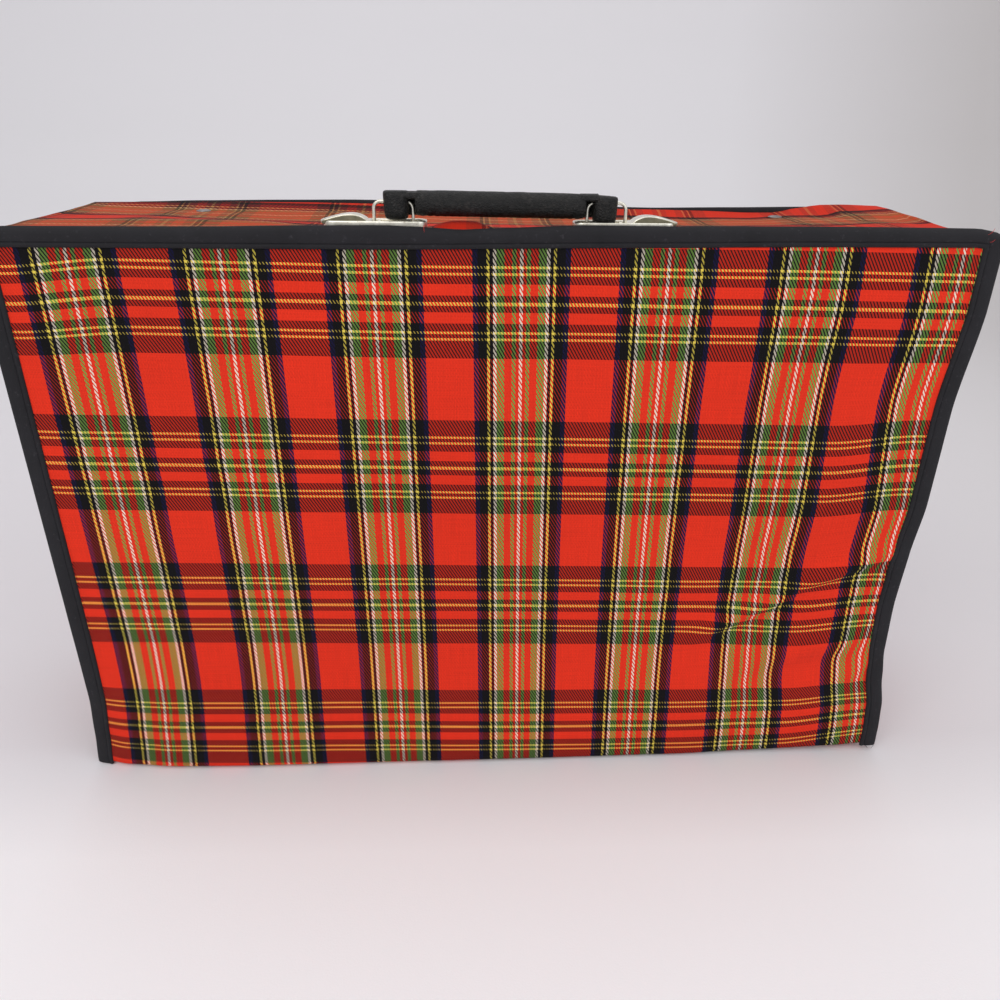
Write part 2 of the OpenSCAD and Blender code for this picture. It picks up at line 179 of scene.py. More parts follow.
def topSag(x, y):
    bulge = settled["pouch"]["rise"] * pouch(x, y)
    if y <= case["collarBack"]:
        return bulge
    line = [(case["collarBack"], 0.0)] + [(place, along(lifts, x)) for place, lifts in settled["topLines"]]
    wrinkle = 0.7 * (1 - smooth(228, 245, abs(x))) * ripple(x, y * 2.2, 34, 4.0)
    wrinkle *= smooth(-36, -10, y) * (1 - smooth(44, 60, y)) * smooth(0, 14, abs(y - case["crease"]))
    return along(line, y) + bulge + wrinkle


def roundCorner(x, z, halfX, middle, r, way=1):  # turns a square corner round; way is -1 at a foot
    a = (abs(x) - (halfX - r)) / r
    b = way * (z - middle) / r
    if a > 0 and b > 0:
        a, b = a * math.sqrt(max(0.0, 1 - b * b / 2)), b * math.sqrt(max(0.0, 1 - a * a / 2))
        return math.copysign(halfX - r + a * r, x), middle + way * b * r
    return x, z


def settleWall(p):
    x, y, z = p
    flatX = x
    x, z = roundCorner(x, z, case["wallX"], case["wallZ"] - settled["cornerTop"], settled["cornerTop"])
    x, z = roundCorner(x, z, case["wallX"], settled["cornerFoot"], settled["cornerFoot"], -1)
    share = 1 - 0.65 * smooth(-60, 62, y)
    rise = math.sin(math.pi * min(1, max(0, p[2] / case["wallZ"])))
    puff = settled["puff"] * rise * ripple(y, p[2], 60, 2.0 if flatX > 0 else 7.0)
    side = smooth(225, 245, abs(flatX)) * smooth(-60, -30, y) * (1 - smooth(40, 60, y))
    side *= smooth(2, 20, abs(y - case["crease"]))
    # the side walls stay true below the corners, so that they still fold flat
    true = smooth(-52, -38, y) * smooth(236, 244, abs(flatX)) * (1 - smooth(262, 322, p[2]))
    x += bow(x, z, share) * (1 - true) - math.copysign(abs(puff) * side, flatX)
    x -= slide(flatX) * smooth(120, 240, flatX) * smooth(290, 327, p[2])
    z += topSag(p[0], y) * smooth(296, 325, p[2])
    z += along(settled["footRise"], x) * (1 - smooth(0, 60, p[2])) * (1 - smooth(-62, -30, y))
    return (x, y, z)


def settleBoard(p):  # a wall's board lies a little below its cloth at the top
    x, y, z = settleWall(p)
    return (x, y, z - settled["boardDrop"] * smooth(290, 320, p[2]))


def mirrorY(p):
    return (p[0], -p[1], p[2])


# Shader maths written as expressions

class Wire:
    def __init__(self, graph, socket):
        self.graph, self.socket = graph, socket

    def maths(self, operation, other=None):
        values = [v for v in (self, other) if v is not None]
        return self.graph.node("ShaderNodeMath", {"operation": operation}, dict(enumerate(values)))

    def clamp(self):
        return self.graph.node("ShaderNodeClamp", None, {"Value": self})

    def __rsub__(self, other):
        return self.graph.node("ShaderNodeMath", {"operation": "SUBTRACT"}, {0: other, 1: self})

    __add__ = __radd__ = lambda self, other: self.maths("ADD", other)
    __mul__ = __rmul__ = lambda self, other: self.maths("MULTIPLY", other)
    __sub__ = lambda self, other: self.maths("SUBTRACT", other)
    __truediv__ = lambda self, other: self.maths("DIVIDE", other)
    __abs__ = lambda self: self.maths("ABSOLUTE")
    fract = lambda self: self.maths("FRACT")
    sine = lambda self: self.maths("SINE")


class Graph:
    def __init__(self, name, **constants):
        self.material = bpy.data.materials.new(name)
        self.material.use_nodes = True
        self.tree = self.material.node_tree
        self.shader = self.tree.nodes["Principled BSDF"]
        for key, value in constants.items():
            self.shader.inputs[key.replace("_", " ")].default_value = value

    def feed(self, socket, value):
        if isinstance(value, Wire):
            self.tree.links.new(value.socket, socket)
        else:
            socket.default_value = value

    def node(self, kind, settings=None, values=None, output=0):
        made = self.tree.nodes.new(kind)
        for key, value in (settings or {}).items():
            if key == "stops":
                ramp = made.color_ramp
                while len(ramp.elements) < len(value):
                    ramp.elements.new(0.5)
                for element, (place, colour) in zip(ramp.elements, value):
                    element.position, element.color = place, colour
            elif key == "blend":
                made.color_ramp.interpolation = value
            else:
                setattr(made, key, value)
        for key, value in (values or {}).items():
            self.feed(made.inputs[key], value)
        return Wire(self, made.outputs[output])

    def coords(self, kind="Object"):
        return self.node("ShaderNodeTexCoord", None, None, kind)

    def uv(self, name):
        return self.node("ShaderNodeUVMap", {"uv_map": name})

    def split(self, vector):
        made = self.tree.nodes.new("ShaderNodeSeparateXYZ")
        self.tree.links.new(vector.socket, made.inputs[0])
        return [Wire(self, s) for s in made.outputs]

    def scaled(self, vector, x, y, z):
        return self.node("ShaderNodeVectorMath", {"operation": "MULTIPLY"}, {0: vector, 1: (x, y, z)})

    def noise(self, vector, scale, detail=2.0, rough=0.5):
        values = {"Vector": vector, "Scale": scale, "Detail": detail, "Roughness": rough}
        return self.node("ShaderNodeTexNoise", None, values)

    def mix(self, factor, a, b, kind="MIX"):
        settings = {"data_type": "RGBA", "blend_type": kind}
        return self.node("ShaderNodeMix", settings, {0: factor, 6: a, 7: b}, 2)

    def ramp(self, stops, value, blend="LINEAR"):
        return self.node("ShaderNodeValToRGB", {"blend": blend, "stops": stops}, {0: value})

    def spread(self, value, low, high, out0=0.0, out1=1.0):
        ends = {"From Min": low, "From Max": high, "To Min": out0, "To Max": out1}
        return self.node("ShaderNodeMapRange", None, {"Value": value, **ends})

    def bump(self, height, strength, distance):
        values = {"Height": height, "Strength": strength, "Distance": distance}
        return self.node("ShaderNodeBump", None, values)

    def finish(self, **links):
        for key, value in links.items():
            self.tree.links.new(value.socket, self.shader.inputs[key.replace("_", " ")])
        return self.material


# Materials

tartan = {
    "warpRepeat": 0.0727, "weftRepeat": 0.0884, "twill": 0.0017, "slope": 1.73,
    "red": sRgb(230, 50, 26), "green": sRgb(118, 158, 72), "white": sRgb(238, 226, 206),
    "yellow": sRgb(228, 208, 84), "black": sRgb(12, 10, 14), "navy": sRgb(20, 17, 64),
    "dark": sRgb(16, 11, 17), "weftYellow": sRgb(236, 206, 88), "cream": sRgb(206, 168, 122),
    "tan": sRgb(196, 138, 84), "rust": sRgb(196, 92, 52), "olive": sRgb(138, 112, 62),
    "plum": sRgb(84, 22, 30), "brick": sRgb(158, 48, 34),
    "warp": [(0, "white"), (.011, "red"), (.034, "green"), (.062, "red"), (.115, "green"), (.168, "white"),
             (.192, "black"), (.216, "yellow"), (.236, "black"), (.295, "navy"), (.332, "red")],
    "weft": [(0, "weftYellow"), (.009, "dark"), (.045, "red"), (.108, "dark"), (.156, "weftYellow"),
             (.169, "dark"), (.193, "weftYellow"), (.206, "dark"), (.310, "red")],
    # as seen on the walls, where the stripes run together
    "wallWarp": [(0, "cream"), (.009, "rust"), (.034, "olive"), (.062, "rust"), (.115, "olive"),
                 (.168, "cream"), (.188, "plum"), (.216, "tan"), (.232, "plum"), (.280, "black"),
                 (.332, "red")],
    "wallWeft": [(0, "tan"), (.009, "brick"), (.045, "red"), (.108, "brick"), (.158, "tan"), (.168, "plum"),
                 (.195, "tan"), (.205, "dark"), (.225, "brick"), (.310, "red")],
    # how much of the face a warp thread of each colour takes, and how far each dark colour darkens the
    # threads that cross it: painted shade cast by the dark threads
    "share": {"black": 0.37, "navy": 0.34, "white": 0.28, "yellow": 0.26, "green": 0.28},
    "dim": {"black": 0.50, "navy": 0.58, "dark": 0.57, "green": 0.92, "plum": 0.7},
}


def makeTartan(name, warpKey, weftKey, light=1.0):
    g = Graph(name, Roughness=0.86, Specular_IOR_Level=0.2)
    plane = g.uv("weave")
    u, v, _ = g.split(plane)

    def stripes(place, repeat, key, look):
        stops = [(at * 2, look(colour)) for at, colour in tartan[key]]
        return g.ramp(stops, abs((place / tartan[repeat] + 0.5).fract() - 0.5) * 2, "CONSTANT")

    def level(table, usual):
        return lambda colour: (tartan[table].get(colour, usual),) * 3 + (1.0,)

    def tone(value, low, high):
        return g.spread(value, 0.25, 0.75, low, high)

    own = lambda colour: tartan[colour]
    dim, share = level("dim", 1.0), level("share", 0.30)
    grey = lambda tint: g.node("ShaderNodeCombineXYZ", None, {0: tint, 1: tint, 2: tint})
    times = lambda a, b: g.mix(1.0, a, b, "MULTIPLY")
    uneven = g.noise(plane, 900, 1.0) * 0.12  # threads wander a little
    long = tartan["twill"] * tartan["slope"]
    phase = (u / tartan["twill"] + v / long + uneven).fract()
    warpUp = ((stripes(u, "warpRepeat", warpKey, share) - abs(phase - 0.5)) / 0.08 + 0.5).clamp()
    warpThread = abs((u * (math.pi * 2 / tartan["twill"])).sine())
    weftThread = abs((v * (math.pi * 2 / long)).sine())
    slubsU = g.noise(g.scaled(plane, 2100, 46, 0), 1.0, 2.0)
    slubsV = g.noise(g.scaled(plane, 46, 1300, 0), 1.0, 2.0)
    # each thread is painted darker at its edges than at its middle, a painted shade in the crevices between
    # threads; the slubs are the yarn's own uneven tone
    warp = times(stripes(u, "warpRepeat", warpKey, own),
                 grey(tone(slubsU, 0.84, 1.10) * (0.90 + warpThread * 0.12)))
    weft = times(stripes(v, "weftRepeat", weftKey, own),
                 grey(tone(slubsV, 0.80, 1.10) * (0.88 + weftThread * 0.12)))
    # threads that cross a dark thread are painted darker: painted shade
    warp = times(warp, stripes(v, "weftRepeat", weftKey, dim))
    weft = times(weft, stripes(u, "warpRepeat", warpKey, dim))
    # random uneven tone of the cloth, scaled by light, which paints the wall copy darker as a painted shade
    wash = tone(g.noise(g.coords(), 7.0, 3.0), 0.94 * light, 1.04 * light)
    colour = times(g.mix(warpUp, weft, warp), grey(wash))
    height = warpUp * (0.55 + warpThread * 0.45) + (1 - warpUp) * weftThread * 0.55
    return g.finish(Base_Color=colour, Normal=g.bump(height, 0.35, 0.00012), Roughness=0.8 + slubsU * 0.12)


def makeTape():
    g = Graph("bindingTape", Roughness=0.8, Specular_IOR_Level=0.3)
    t, s, _ = g.split(g.uv("weave"))
    rib = abs((t * (math.pi / 0.00062)).sine())
    cross = abs((s * (math.pi / 0.0008)).sine())
    place = g.coords()
    dust = g.noise(place, 55, 5.0, 0.65)
    lint = g.spread(g.noise(place, 420, 3.0, 0.6), 0.62, 0.76, 0.0, 0.35)
    tone = g.ramp([(0.30, sRgb(19, 18, 22)), (0.70, sRgb(33, 32, 36))], dust)
    tone = g.mix(lint, tone, sRgb(74, 71, 77))
    # the rib crests are painted a little lighter: a painted highlight on the weave
    tone = g.mix(rib * 0.10, tone, sRgb(50, 49, 54))
    return g.finish(Base_Color=tone, Normal=g.bump(rib * 0.6 + cross * 0.4, 0.5, 0.00018),
                    Roughness=0.68 + dust * 0.22)


def makeVinyl():
    g = Graph("grainedVinyl", Roughness=0.42, Specular_IOR_Level=0.34)
    place = g.coords()
    cell = g.node("ShaderNodeTexVoronoi", {"feature": "DISTANCE_TO_EDGE"},
                  {"Vector": g.scaled(place, 0.75, 1.0, 1.0), "Scale": 900.0})
    grain = g.spread(cell, 0.0, 0.25)
    broad = g.noise(place, 130, 4.0, 0.6)
    # light grey speckles over the grain: partly rubbed wear, partly a painted highlight on the grain
    speckle = g.spread(g.noise(place, 520, 3.0, 0.75), 0.46, 0.66)
    rubAndSheen = g.spread(g.noise(place, 60, 5.0, 0.7), 0.45, 0.8, 0.15, 0.9)
    colour = g.mix(speckle * rubAndSheen, sRgb(2, 2, 2), sRgb(62, 57, 54))
    return g.finish(Base_Color=colour, Roughness=0.32 + broad * 0.28,
                    Normal=g.bump(grain * 0.9 + broad * 1.1, 0.8, 0.0003))


def makeSteel(name, dark, light):
    g = Graph(name, Metallic=1.0, Roughness=0.3)
    place = g.coords()
    cloud = g.noise(place, 240, 5.0, 0.65)
    spots = g.spread(g.noise(place, 900, 3.0, 0.6), 0.62, 0.72)
    colour = g.ramp([(0.3, dark), (0.7, light)], cloud)
    colour = g.mix(spots * 0.55, colour, sRgb(132, 118, 92))
    scratch = g.noise(g.scaled(place, 300, 3000, 900), 1.0, 2.0)
    return g.finish(Base_Color=colour, Roughness=0.2 + cloud * 0.22 + spots * 0.2,
                    Normal=g.bump(scratch + cloud, 0.15, 0.0001))


def makeCard():
    g = Graph("greyboard", Roughness=0.9)
    place = g.coords()
    fibre = g.noise(g.scaled(place, 1.0, 1.0, 3.0), 260, 4.0, 0.7)
    fleck = g.spread(g.noise(place, 1100, 2.0), 0.64, 0.72, 0.0, 0.8)
    colour = g.ramp([(0.3, sRgb(158, 143, 122)), (0.7, sRgb(184, 170, 148))], fibre)
    colour = g.mix(fleck, colour, sRgb(120, 106, 88))
    return g.finish(Base_Color=colour, Normal=g.bump(fibre, 0.3, 0.0002), Roughness=0.84 + fibre * 0.12)


def makeLining():
    g = Graph("liningCloth", Roughness=0.88, Specular_IOR_Level=0.3)
    x, _, z = g.split(g.coords())
    across, upward = [abs((v * (math.pi / 0.0007)).sine()) for v in (x, z)]
    blotch = g.noise(g.coords(), 16, 4.0, 0.6)
    colour = g.ramp([(0.3, sRgb(214, 206, 190)), (0.7, sRgb(230, 224, 210))], blotch)
    colour = g.mix((across * upward) * 0.25, colour, sRgb(198, 190, 172))
    return g.finish(Base_Color=colour, Normal=g.bump(across + upward, 0.35, 0.00015),
                    Roughness=0.82 + blotch * 0.12)


def makeThread(name, colour):
    g = Graph(name, Roughness=0.7)
    twist = g.noise(g.coords(), 2600, 2.0)
    tone = g.mix(twist * 0.5, colour, [c * 0.5 for c in colour[:3]] + [1.0])
    return g.finish(Base_Color=tone, Normal=g.bump(twist, 0.3, 0.0001), Roughness=0.6 + twist * 0.2)


materials = {
    "cloth": makeTartan("tartanTwill", "warp", "weft"),
    # the wall copy is painted at 0.8 of the lid's brightness: a painted shade
    "wallCloth": makeTartan("wallTwill", "wallWarp", "wallWeft", 0.8),
    "tape": makeTape(), "vinyl": makeVinyl(), "card": makeCard(), "lining": makeLining(),
    "steel": makeSteel("agedNickel", sRgb(212, 207, 192), sRgb(250, 247, 235)),
    # a darker, olive copy of the steel for the lever's side faces: painted shade and a painted reflection
    "sideShadeSteel": makeSteel("sideShadeNickel", sRgb(124, 119, 98), sRgb(146, 140, 118)),
    "greySteel": makeSteel("wornTin", sRgb(116, 112, 112), sRgb(168, 164, 162)),
}
blackThread = makeThread("blackThread", sRgb(12, 12, 15))
redThread = makeThread("redThread", sRgb(205, 44, 34))
print("materials ready")


# Making pieces

def linked(name, data, sharp=None):
    obj = bpy.data.objects.new(name, data)
    scene.collection.objects.link(obj)
    if sharp:  # smooth faces, with edges above this angle kept sharp
        bm = bmesh.new()
        bm.from_mesh(data)
        for face in bm.faces:
            face.smooth = True
        for edge in bm.edges:
            edge.smooth = edge.calc_face_angle(0.0) < math.radians(sharp)
        bm.to_mesh(data)
        bm.free()
    return obj


def fromBmesh(name, bm, material, sharp):
    mesh = bpy.data.meshes.new(name)
    bm.to_mesh(mesh)
    bm.free()
    mesh.materials.append(material)
    return linked(name, mesh, sharp)


def evaluated(obj):
    depsgraph = bpy.context.evaluated_depsgraph_get()
    return bpy.data.meshes.new_from_object(obj.evaluated_get(depsgraph), depsgraph=depsgraph)


def newPiece(name, points, faces, material, uvs=None, sharp=42):
    mesh = bpy.data.meshes.new(name)
    mesh.from_pydata([(x * mm, y * mm, z * mm) for x, y, z in points], [], faces)
    mesh.materials.append(material)
    if uvs:
        layer = mesh.uv_layers.new(name="weave")
        for loop in mesh.loops:
            layer.data[loop.index].uv = uvs[loop.vertex_index]
    return linked(name, mesh, sharp)


def camel(node):
    first, *rest = node.split("_")
    return first + "".join(word.capitalize() for word in rest)


def dress(obj, body, slot, *nodes):
    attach(obj, body)
    if nodes:
        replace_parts(obj, *nodes)
    return obj


def grids(rows, span, place):
    # place(row, column) gives an outer point, an inner point and their place in the cloth: a grid of each
    cells = [[place(row, column) for column in span(row)] for row in rows]
    return [[[cell[k] for cell in row] for row in cells] for k in range(3)]


def shell(name, outer, inner, weave, material, flip=False, sharp=42):
    # a sheet with thickness from two grids of points; weave holds each grid point's place in the cloth, in mm
    rows, cols = len(outer), len(outer[0])
    count = rows * cols
    points = [p for row in outer + inner for p in row]
    uvs = [(a * mm, b * mm) for row in weave for a, b in row] * 2
    faces = []
    at = lambda i, j: i * cols + j
    for i in range(rows - 1):
        for j in range(cols - 1):
            quad = (at(i, j), at(i, j + 1), at(i + 1, j + 1), at(i + 1, j))
            faces += [quad, tuple(count + k for k in reversed(quad))]
    ring = [at(0, j) for j in range(cols)] + [at(i, cols - 1) for i in range(1, rows)]
    ring += [at(rows - 1, j) for j in range(cols - 2, -1, -1)] + [at(i, 0) for i in range(rows - 2, 0, -1)]
    for a, b in zip(ring, ring[1:] + ring[:1]):
        faces.append((b, a, count + a, count + b))
    if flip:
        faces = [tuple(reversed(f)) for f in faces]
    return newPiece(name, points, faces, material, uvs, sharp)


def settledCopy(node, settle, cuts, body, slot):
    # the node's own solid, cut finely enough to follow the case as it has settled
    bm = bmesh.new()
    bm.from_mesh(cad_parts[node].data)
    bmesh.ops.remove_doubles(bm, verts=bm.verts, dist=2e-6)
    bmesh.ops.dissolve_limit(bm, angle_limit=0.01, verts=bm.verts, edges=bm.edges)
    for axis, places in enumerate(cuts):
        normal = Vector((axis == 0, axis == 1, axis == 2))
        for place in places:
            parts = bm.verts[:] + bm.edges[:] + bm.faces[:]
            bmesh.ops.bisect_plane(bm, geom=parts, dist=1e-7, plane_co=normal * place * mm, plane_no=normal)
    for vert in bm.verts:
        vert.co = Vector(settle(tuple(c / mm for c in vert.co))) * mm
    bmesh.ops.triangulate(bm, faces=bm.faces[:])
    return dress(fromBmesh(camel(node), bm, materials[slot], 35), body, slot, node)


def geoPiece(name, source, build, values, body, slot, material):
    # runs a Geometry Nodes tree on a source object and keeps its result as a plain mesh
    tree = bpy.data.node_groups.new(name + "Tree", "GeometryNodeTree")
    tree.interface.new_socket("Geometry", in_out="INPUT", socket_type="NodeSocketGeometry")
    tree.interface.new_socket("Geometry", in_out="OUTPUT", socket_type="NodeSocketGeometry")
    keys = {}
    for key, value in values.items():
        kind = "NodeSocketInt" if isinstance(value, int) else "NodeSocketFloat"
        keys[key] = tree.interface.new_socket(key, in_out="INPUT", socket_type=kind).identifier
    start, end = tree.nodes.new("NodeGroupInput"), tree.nodes.new("NodeGroupOutput")

    def add(kind, settings=None, links=None, output=0):
        made = tree.nodes.new(kind)
        for key, value in (settings or {}).items():
            setattr(made, key, value)
        for key, value in (links or {}).items():
            if isinstance(value, bpy.types.NodeSocket):
                tree.links.new(value, made.inputs[key])
            else:
                made.inputs[key].default_value = value
        return made.outputs[output]

    real = add("GeometryNodeRealizeInstances", None, {0: build(add, start.outputs)})
    painted = add("GeometryNodeSetMaterial", None, {0: real, "Material": material})
    tree.links.new(painted, end.inputs[0])
    modifier = source.modifiers.new(name, "NODES")
    modifier.node_group = tree
    for key, value in values.items():
        modifier[keys[key]] = value
    mesh = evaluated(source)
    source.modifiers.remove(modifier)
    bpy.data.objects.remove(source)
    return dress(linked(name, mesh, 50), body, slot)


def pathObject(name, lines):
    # runs of points as edges, for the trees that follow a path
    points, edges = [], []
    for line in lines:
        base = len(points)
        points += [(x * mm, y * mm, z * mm) for x, y, z in line]
        edges += [(base + i, base + i + 1) for i in range(len(line) - 1)]
    mesh = bpy.data.meshes.new(name)
    mesh.from_pydata(points, edges, [])
    return linked(name, mesh)


def stitchTree(add, given):
    curve = add("GeometryNodeMeshToCurve", None, {"Mesh": given["Geometry"]})
    spaced = add("GeometryNodeResampleCurve", {"mode": "LENGTH"}, {"Curve": curve, "Length": given["Pitch"]})
    bead = add("GeometryNodeMeshUVSphere", None, {"Segments": 6, "Rings": 5, "Radius": 0.5})
    wide = given["Thread Width"]
    size = add("ShaderNodeCombineXYZ", None, {0: given["Stitch Length"], 1: wide, 2: wide})
    thread = add("GeometryNodeTransform", None, {"Geometry": bead, "Scale": size})
    tangent = add("GeometryNodeInputTangent")
    turn = add("FunctionNodeAlignRotationToVector", {"axis": "X"}, {"Vector": tangent})
    vary = add("FunctionNodeRandomValue", {"data_type": "FLOAT"}, {2: 0.82, 3: 1.1, "Seed": given["Seed"]}, 1)
    return add("GeometryNodeInstanceOnPoints", None,
               {"Points": spaced, "Instance": thread, "Rotation": turn, "Scale": vary})


def stitches(name, lines, body, seed, pitch=3.1, length=2.3, width=0.42, material=None, slot="tape"):
    values = {"Pitch": pitch * mm, "Stitch Length": length * mm, "Thread Width": width * mm, "Seed": seed}
    return geoPiece(name, pathObject(name + "Path", lines), stitchTree, values, body, slot,
                    material or blackThread)


def headTree(add, given):
    # a rivet: its domed head, its shank and the washer under it
    dots = add("GeometryNodeMeshToPoints", None, {"Mesh": given["Geometry"]})
    bead = add("GeometryNodeMeshUVSphere", None, {"Segments": 28, "Rings": 14, "Radius": 1.0})
    wide = given["Head Radius"]
    size = add("ShaderNodeCombineXYZ", None, {0: wide, 1: wide, 2: given["Head Height"]})
    parts = [add("GeometryNodeTransform", None, {"Geometry": bead, "Scale": size})]
    for sides, key, deep, share in ((20, "Shank Radius", "Shank Length", -0.5),
                                    (24, "Washer Radius", "Washer Height", -1.0)):
        rod = add("GeometryNodeMeshCylinder", None,
                  {"Vertices": sides, "Radius": given[key], "Depth": given[deep]})
        drop = add("ShaderNodeMath", {"operation": "MULTIPLY"}, {0: given["Shank Length"], 1: share})
        place = add("ShaderNodeCombineXYZ", None, {2: drop})
        parts.append(add("GeometryNodeTransform", None, {"Geometry": rod, "Translation": place}))
    joined = add("GeometryNodeJoinGeometry")
    for part in parts:
        joined.id_data.links.new(part, joined.node.inputs[0])
    return add("GeometryNodeInstanceOnPoints", None, {"Points": dots, "Instance": joined})


# Camera and stage

view = {
    "position": (-0.0148, -0.4582, 0.3720), "pitch": 0.4419, "yaw": 0.0401, "roll": 0.01214, "lens": 28.08,
}


def makeCamera():
    pitch, yaw, roll = view["pitch"], view["yaw"], view["roll"]
    forward = Vector((math.sin(yaw) * math.cos(pitch), math.cos(yaw) * math.cos(pitch), -math.sin(pitch)))
    level = Vector((math.cos(yaw), -math.sin(yaw), 0))
    upright = level.cross(forward)
    right = math.cos(roll) * level + math.sin(roll) * upright
    up = -math.sin(roll) * level + math.cos(roll) * upright
    data = bpy.data.cameras.new("camera")
    data.lens, data.sensor_width, data.sensor_fit = view["lens"], 36.0, "HORIZONTAL"
    data.clip_start = 0.01
    camera = linked("camera", data)
    turn = Matrix((right, up, -forward)).transposed().to_4x4()
    camera.matrix_world = Matrix.Translation(view["position"]) @ turn
    scene.camera = camera


stage = {
    # one cloth painted at three levels of light: the front of the floor lighter as a painted pool of light,
    # the backdrop a little lighter than the floor; the last colour is a painted shade over the right side
    "near": sRgb(246, 244, 247), "floor": sRgb(225, 221, 225), "far": sRgb(233, 231, 234),
    "warm": sRgb(211, 207, 207),
    "world": (0.90, 0.905, 0.925, 1.0), "worldStrength": 0.62, "halfWide": 5.0,
    # the backdrop from front to back: depth and height, in metres
    "profile": [(-2.4, 0.0), (1.1, 0.0), (1.3, 0.02), (1.5, 0.09), (1.66, 0.2), (1.78, 0.36), (1.86, 0.6),
                (1.9, 1.0), (1.9, 2.4)],
    # each lamp: place, target, size, power, tint
    "lamps": {
        "keyLamp": ((-0.9, -1.5, 1.9), (0, 0, 0.15), (1.8, 1.4), 19, (1.0, 0.985, 0.965)),
        "fillLamp": ((1.5, -1.2, 1.3), (0, 0, 0.15), (1.6, 1.6), 9, (0.97, 0.98, 1.0)),
        "topLamp": ((0.1, 0.5, 2.1), (0, 0.1, 0), (2.2, 1.6), 8.5, (1.0, 1.0, 1.0)),
    },
}


def makeStage():
    profile = stage["profile"]
    n = len(profile)
    points = [(x / mm, y / mm, z / mm) for x in (-stage["halfWide"], stage["halfWide"]) for y, z in profile]
    faces = [(i, n + i, n + i + 1, i + 1) for i in range(n - 1)]
    g = Graph("backdropCloth", Roughness=0.95)
    place = g.coords()
    x, y, z = g.split(place)
    # the front of the floor is painted lighter (painted light), and the right side is darkened towards a
    # duller tone (painted shade)
    back = (y * 0.8 + z * 0.6 - 0.1).clamp()
    colour = g.mix(back, g.mix(((-0.05 - y) * 11.0).clamp(), stage["floor"], stage["near"]), stage["far"])
    shade = ((x - 0.16 - y * 0.28) * 1.5).clamp() * (y * 3.0 + 1.0).clamp()
    colour = g.mix(shade, colour, stage["warm"])
    weave = g.noise(place, 900, 2.0)
    folds = g.noise(g.scaled(place, 0.5, 1.6, 1.0), 3.0, 2.0)
    cloth = g.finish(Base_Color=colour, Normal=g.bump(weave * 0.1 + folds * 3.0, 0.25, 0.003))
    newPiece("floor", points, faces, cloth, None, 180)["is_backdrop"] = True
    for name, (place, target, size, power, tint) in stage["lamps"].items():
        data = bpy.data.lights.new(name, "AREA")
        data.shape, data.energy, data.color = "RECTANGLE", power, tint
        data.size, data.size_y = size
        light = linked(name, data)
        light.location = place
        light.rotation_euler = (Vector(target) - Vector(place)).to_track_quat("-Z", "Y").to_euler()
    world = bpy.data.worlds.new("studio")
    world.use_nodes = True
    background = world.node_tree.nodes["Background"]
    background.inputs[0].default_value = stage["world"]
    background.inputs[1].default_value = stage["worldStrength"]
    scene.world = world
    scene.view_settings.view_transform = "Standard"


makeCamera()
makeStage()
print("camera and stage ready")


# Lid and back: cloth

clothSizes = {
    "thick": 0.6, "inset": 0.7, "cell": 3.4, "footRadius": 2.6, "whiteLine": -207.8, "yellowLine": 27.8,
}
panels = {
    "lid": {
        "low": case["hingeZ"], "settle": settlePanel, "mirror": False, "shift": 0,
        # creases: from, to, width, height towards the viewer, all on the face (x, z)
        "creases": [((122, 92), (184, 124), 6.0, 3.0), ((180, 126), (243, 152), 6.5, 3.4),
                    ((150, 70), (238, 92), 10.0, 2.2), ((226, 58), (248, 84), 6.0, 2.0),
                    ((70, 120), (130, 128), 9.0, 0.6), ((-215, 214), (-120, 205), 12.0, 0.5),
                    ((-205, 160), (-90, 168), 14.0, 0.5), ((150, 300), (236, 268), 16.0, 0.6),
                    ((-40, 60), (60, 66), 14.0, 0.5)],
    },
    "back": {
        "low": 0.0, "settle": settleBack, "mirror": True, "shift": 22,
        "creases": [((-180, 90), (-60, 110), 12.0, 0.8), ((60, 210), (190, 180), 14.0, 0.7),
                    ((-230, 250), (-150, 262), 9.0, 0.8)],
    },
}


def panelPoint(panel, p):  # the back is made as the lid is, and turned to the rear
    p = panel["settle"](p)
    return mirrorY(p) if panel["mirror"] else p


def drift(x, z):
    # how far the pattern has crept from a true grid: to the right at the foot, and down at the right side
    across = 3.1 * (1 - z / 300) + 4.4 * smooth(160, 215, x) * smooth(250, 165, z) * smooth(60, 110, z)
    up = 0.2 - 0.018 * x + 5.0 * smooth(185, 235, x) * smooth(290, 205, z)
    up += 1.8 * smooth(90, 10, z) * smooth(60, -150, x) - 4.5 * smooth(-185, -240, x) * smooth(235, 293, z)
    return across, up


def creaseHeight(x, z, creases):
    total = 0.0
    for (x0, z0), (x1, z1), wide, high in creases:
        dx, dz = x1 - x0, z1 - z0
        size = dx * dx + dz * dz
        t = ((x - x0) * dx + (z - z0) * dz) / size
        across = ((z - z0) * dx - (x - x0) * dz) / math.sqrt(size)
        ends = smooth(-0.18, 0.3, t) * (1 - smooth(0.75, 1.12, t))
        near = across / wide
        total += high * ends * (math.exp(-near * near) - 0.75 * math.exp(-((near + 1.35) / 0.9) ** 2))
    return total


def faceDepth(x, z, creases):
    inX, inZ = case["halfWidth"] - abs(x), case["height"] - z
    edge = smooth(0, 26, inX) * smooth(0, 26, inZ)
    soft = 0.55 * ripple(x, z, 70, 1.0) + 0.28 * ripple(x * 0.6, z * 1.8, 26, 5.0)
    return max(-0.3, creaseHeight(x, z, creases) * smooth(2, 12, inX) + edge * (0.9 + soft))


def panelRows(low):
    # down the face and in under its foot: depth and height
    face, r = case["front"] + clothSizes["inset"], clothSizes["footRadius"]
    rows = [(face, z) for z in steps(case["height"] - clothSizes["inset"], low + r, clothSizes["cell"])]
    for a in range(18, 91, 18):
        t = math.radians(a)
        rows.append((face + r - r * math.cos(t), low + r - r * math.sin(t)))
    return rows + [(case["flangeIn"] - clothSizes["inset"], low)]


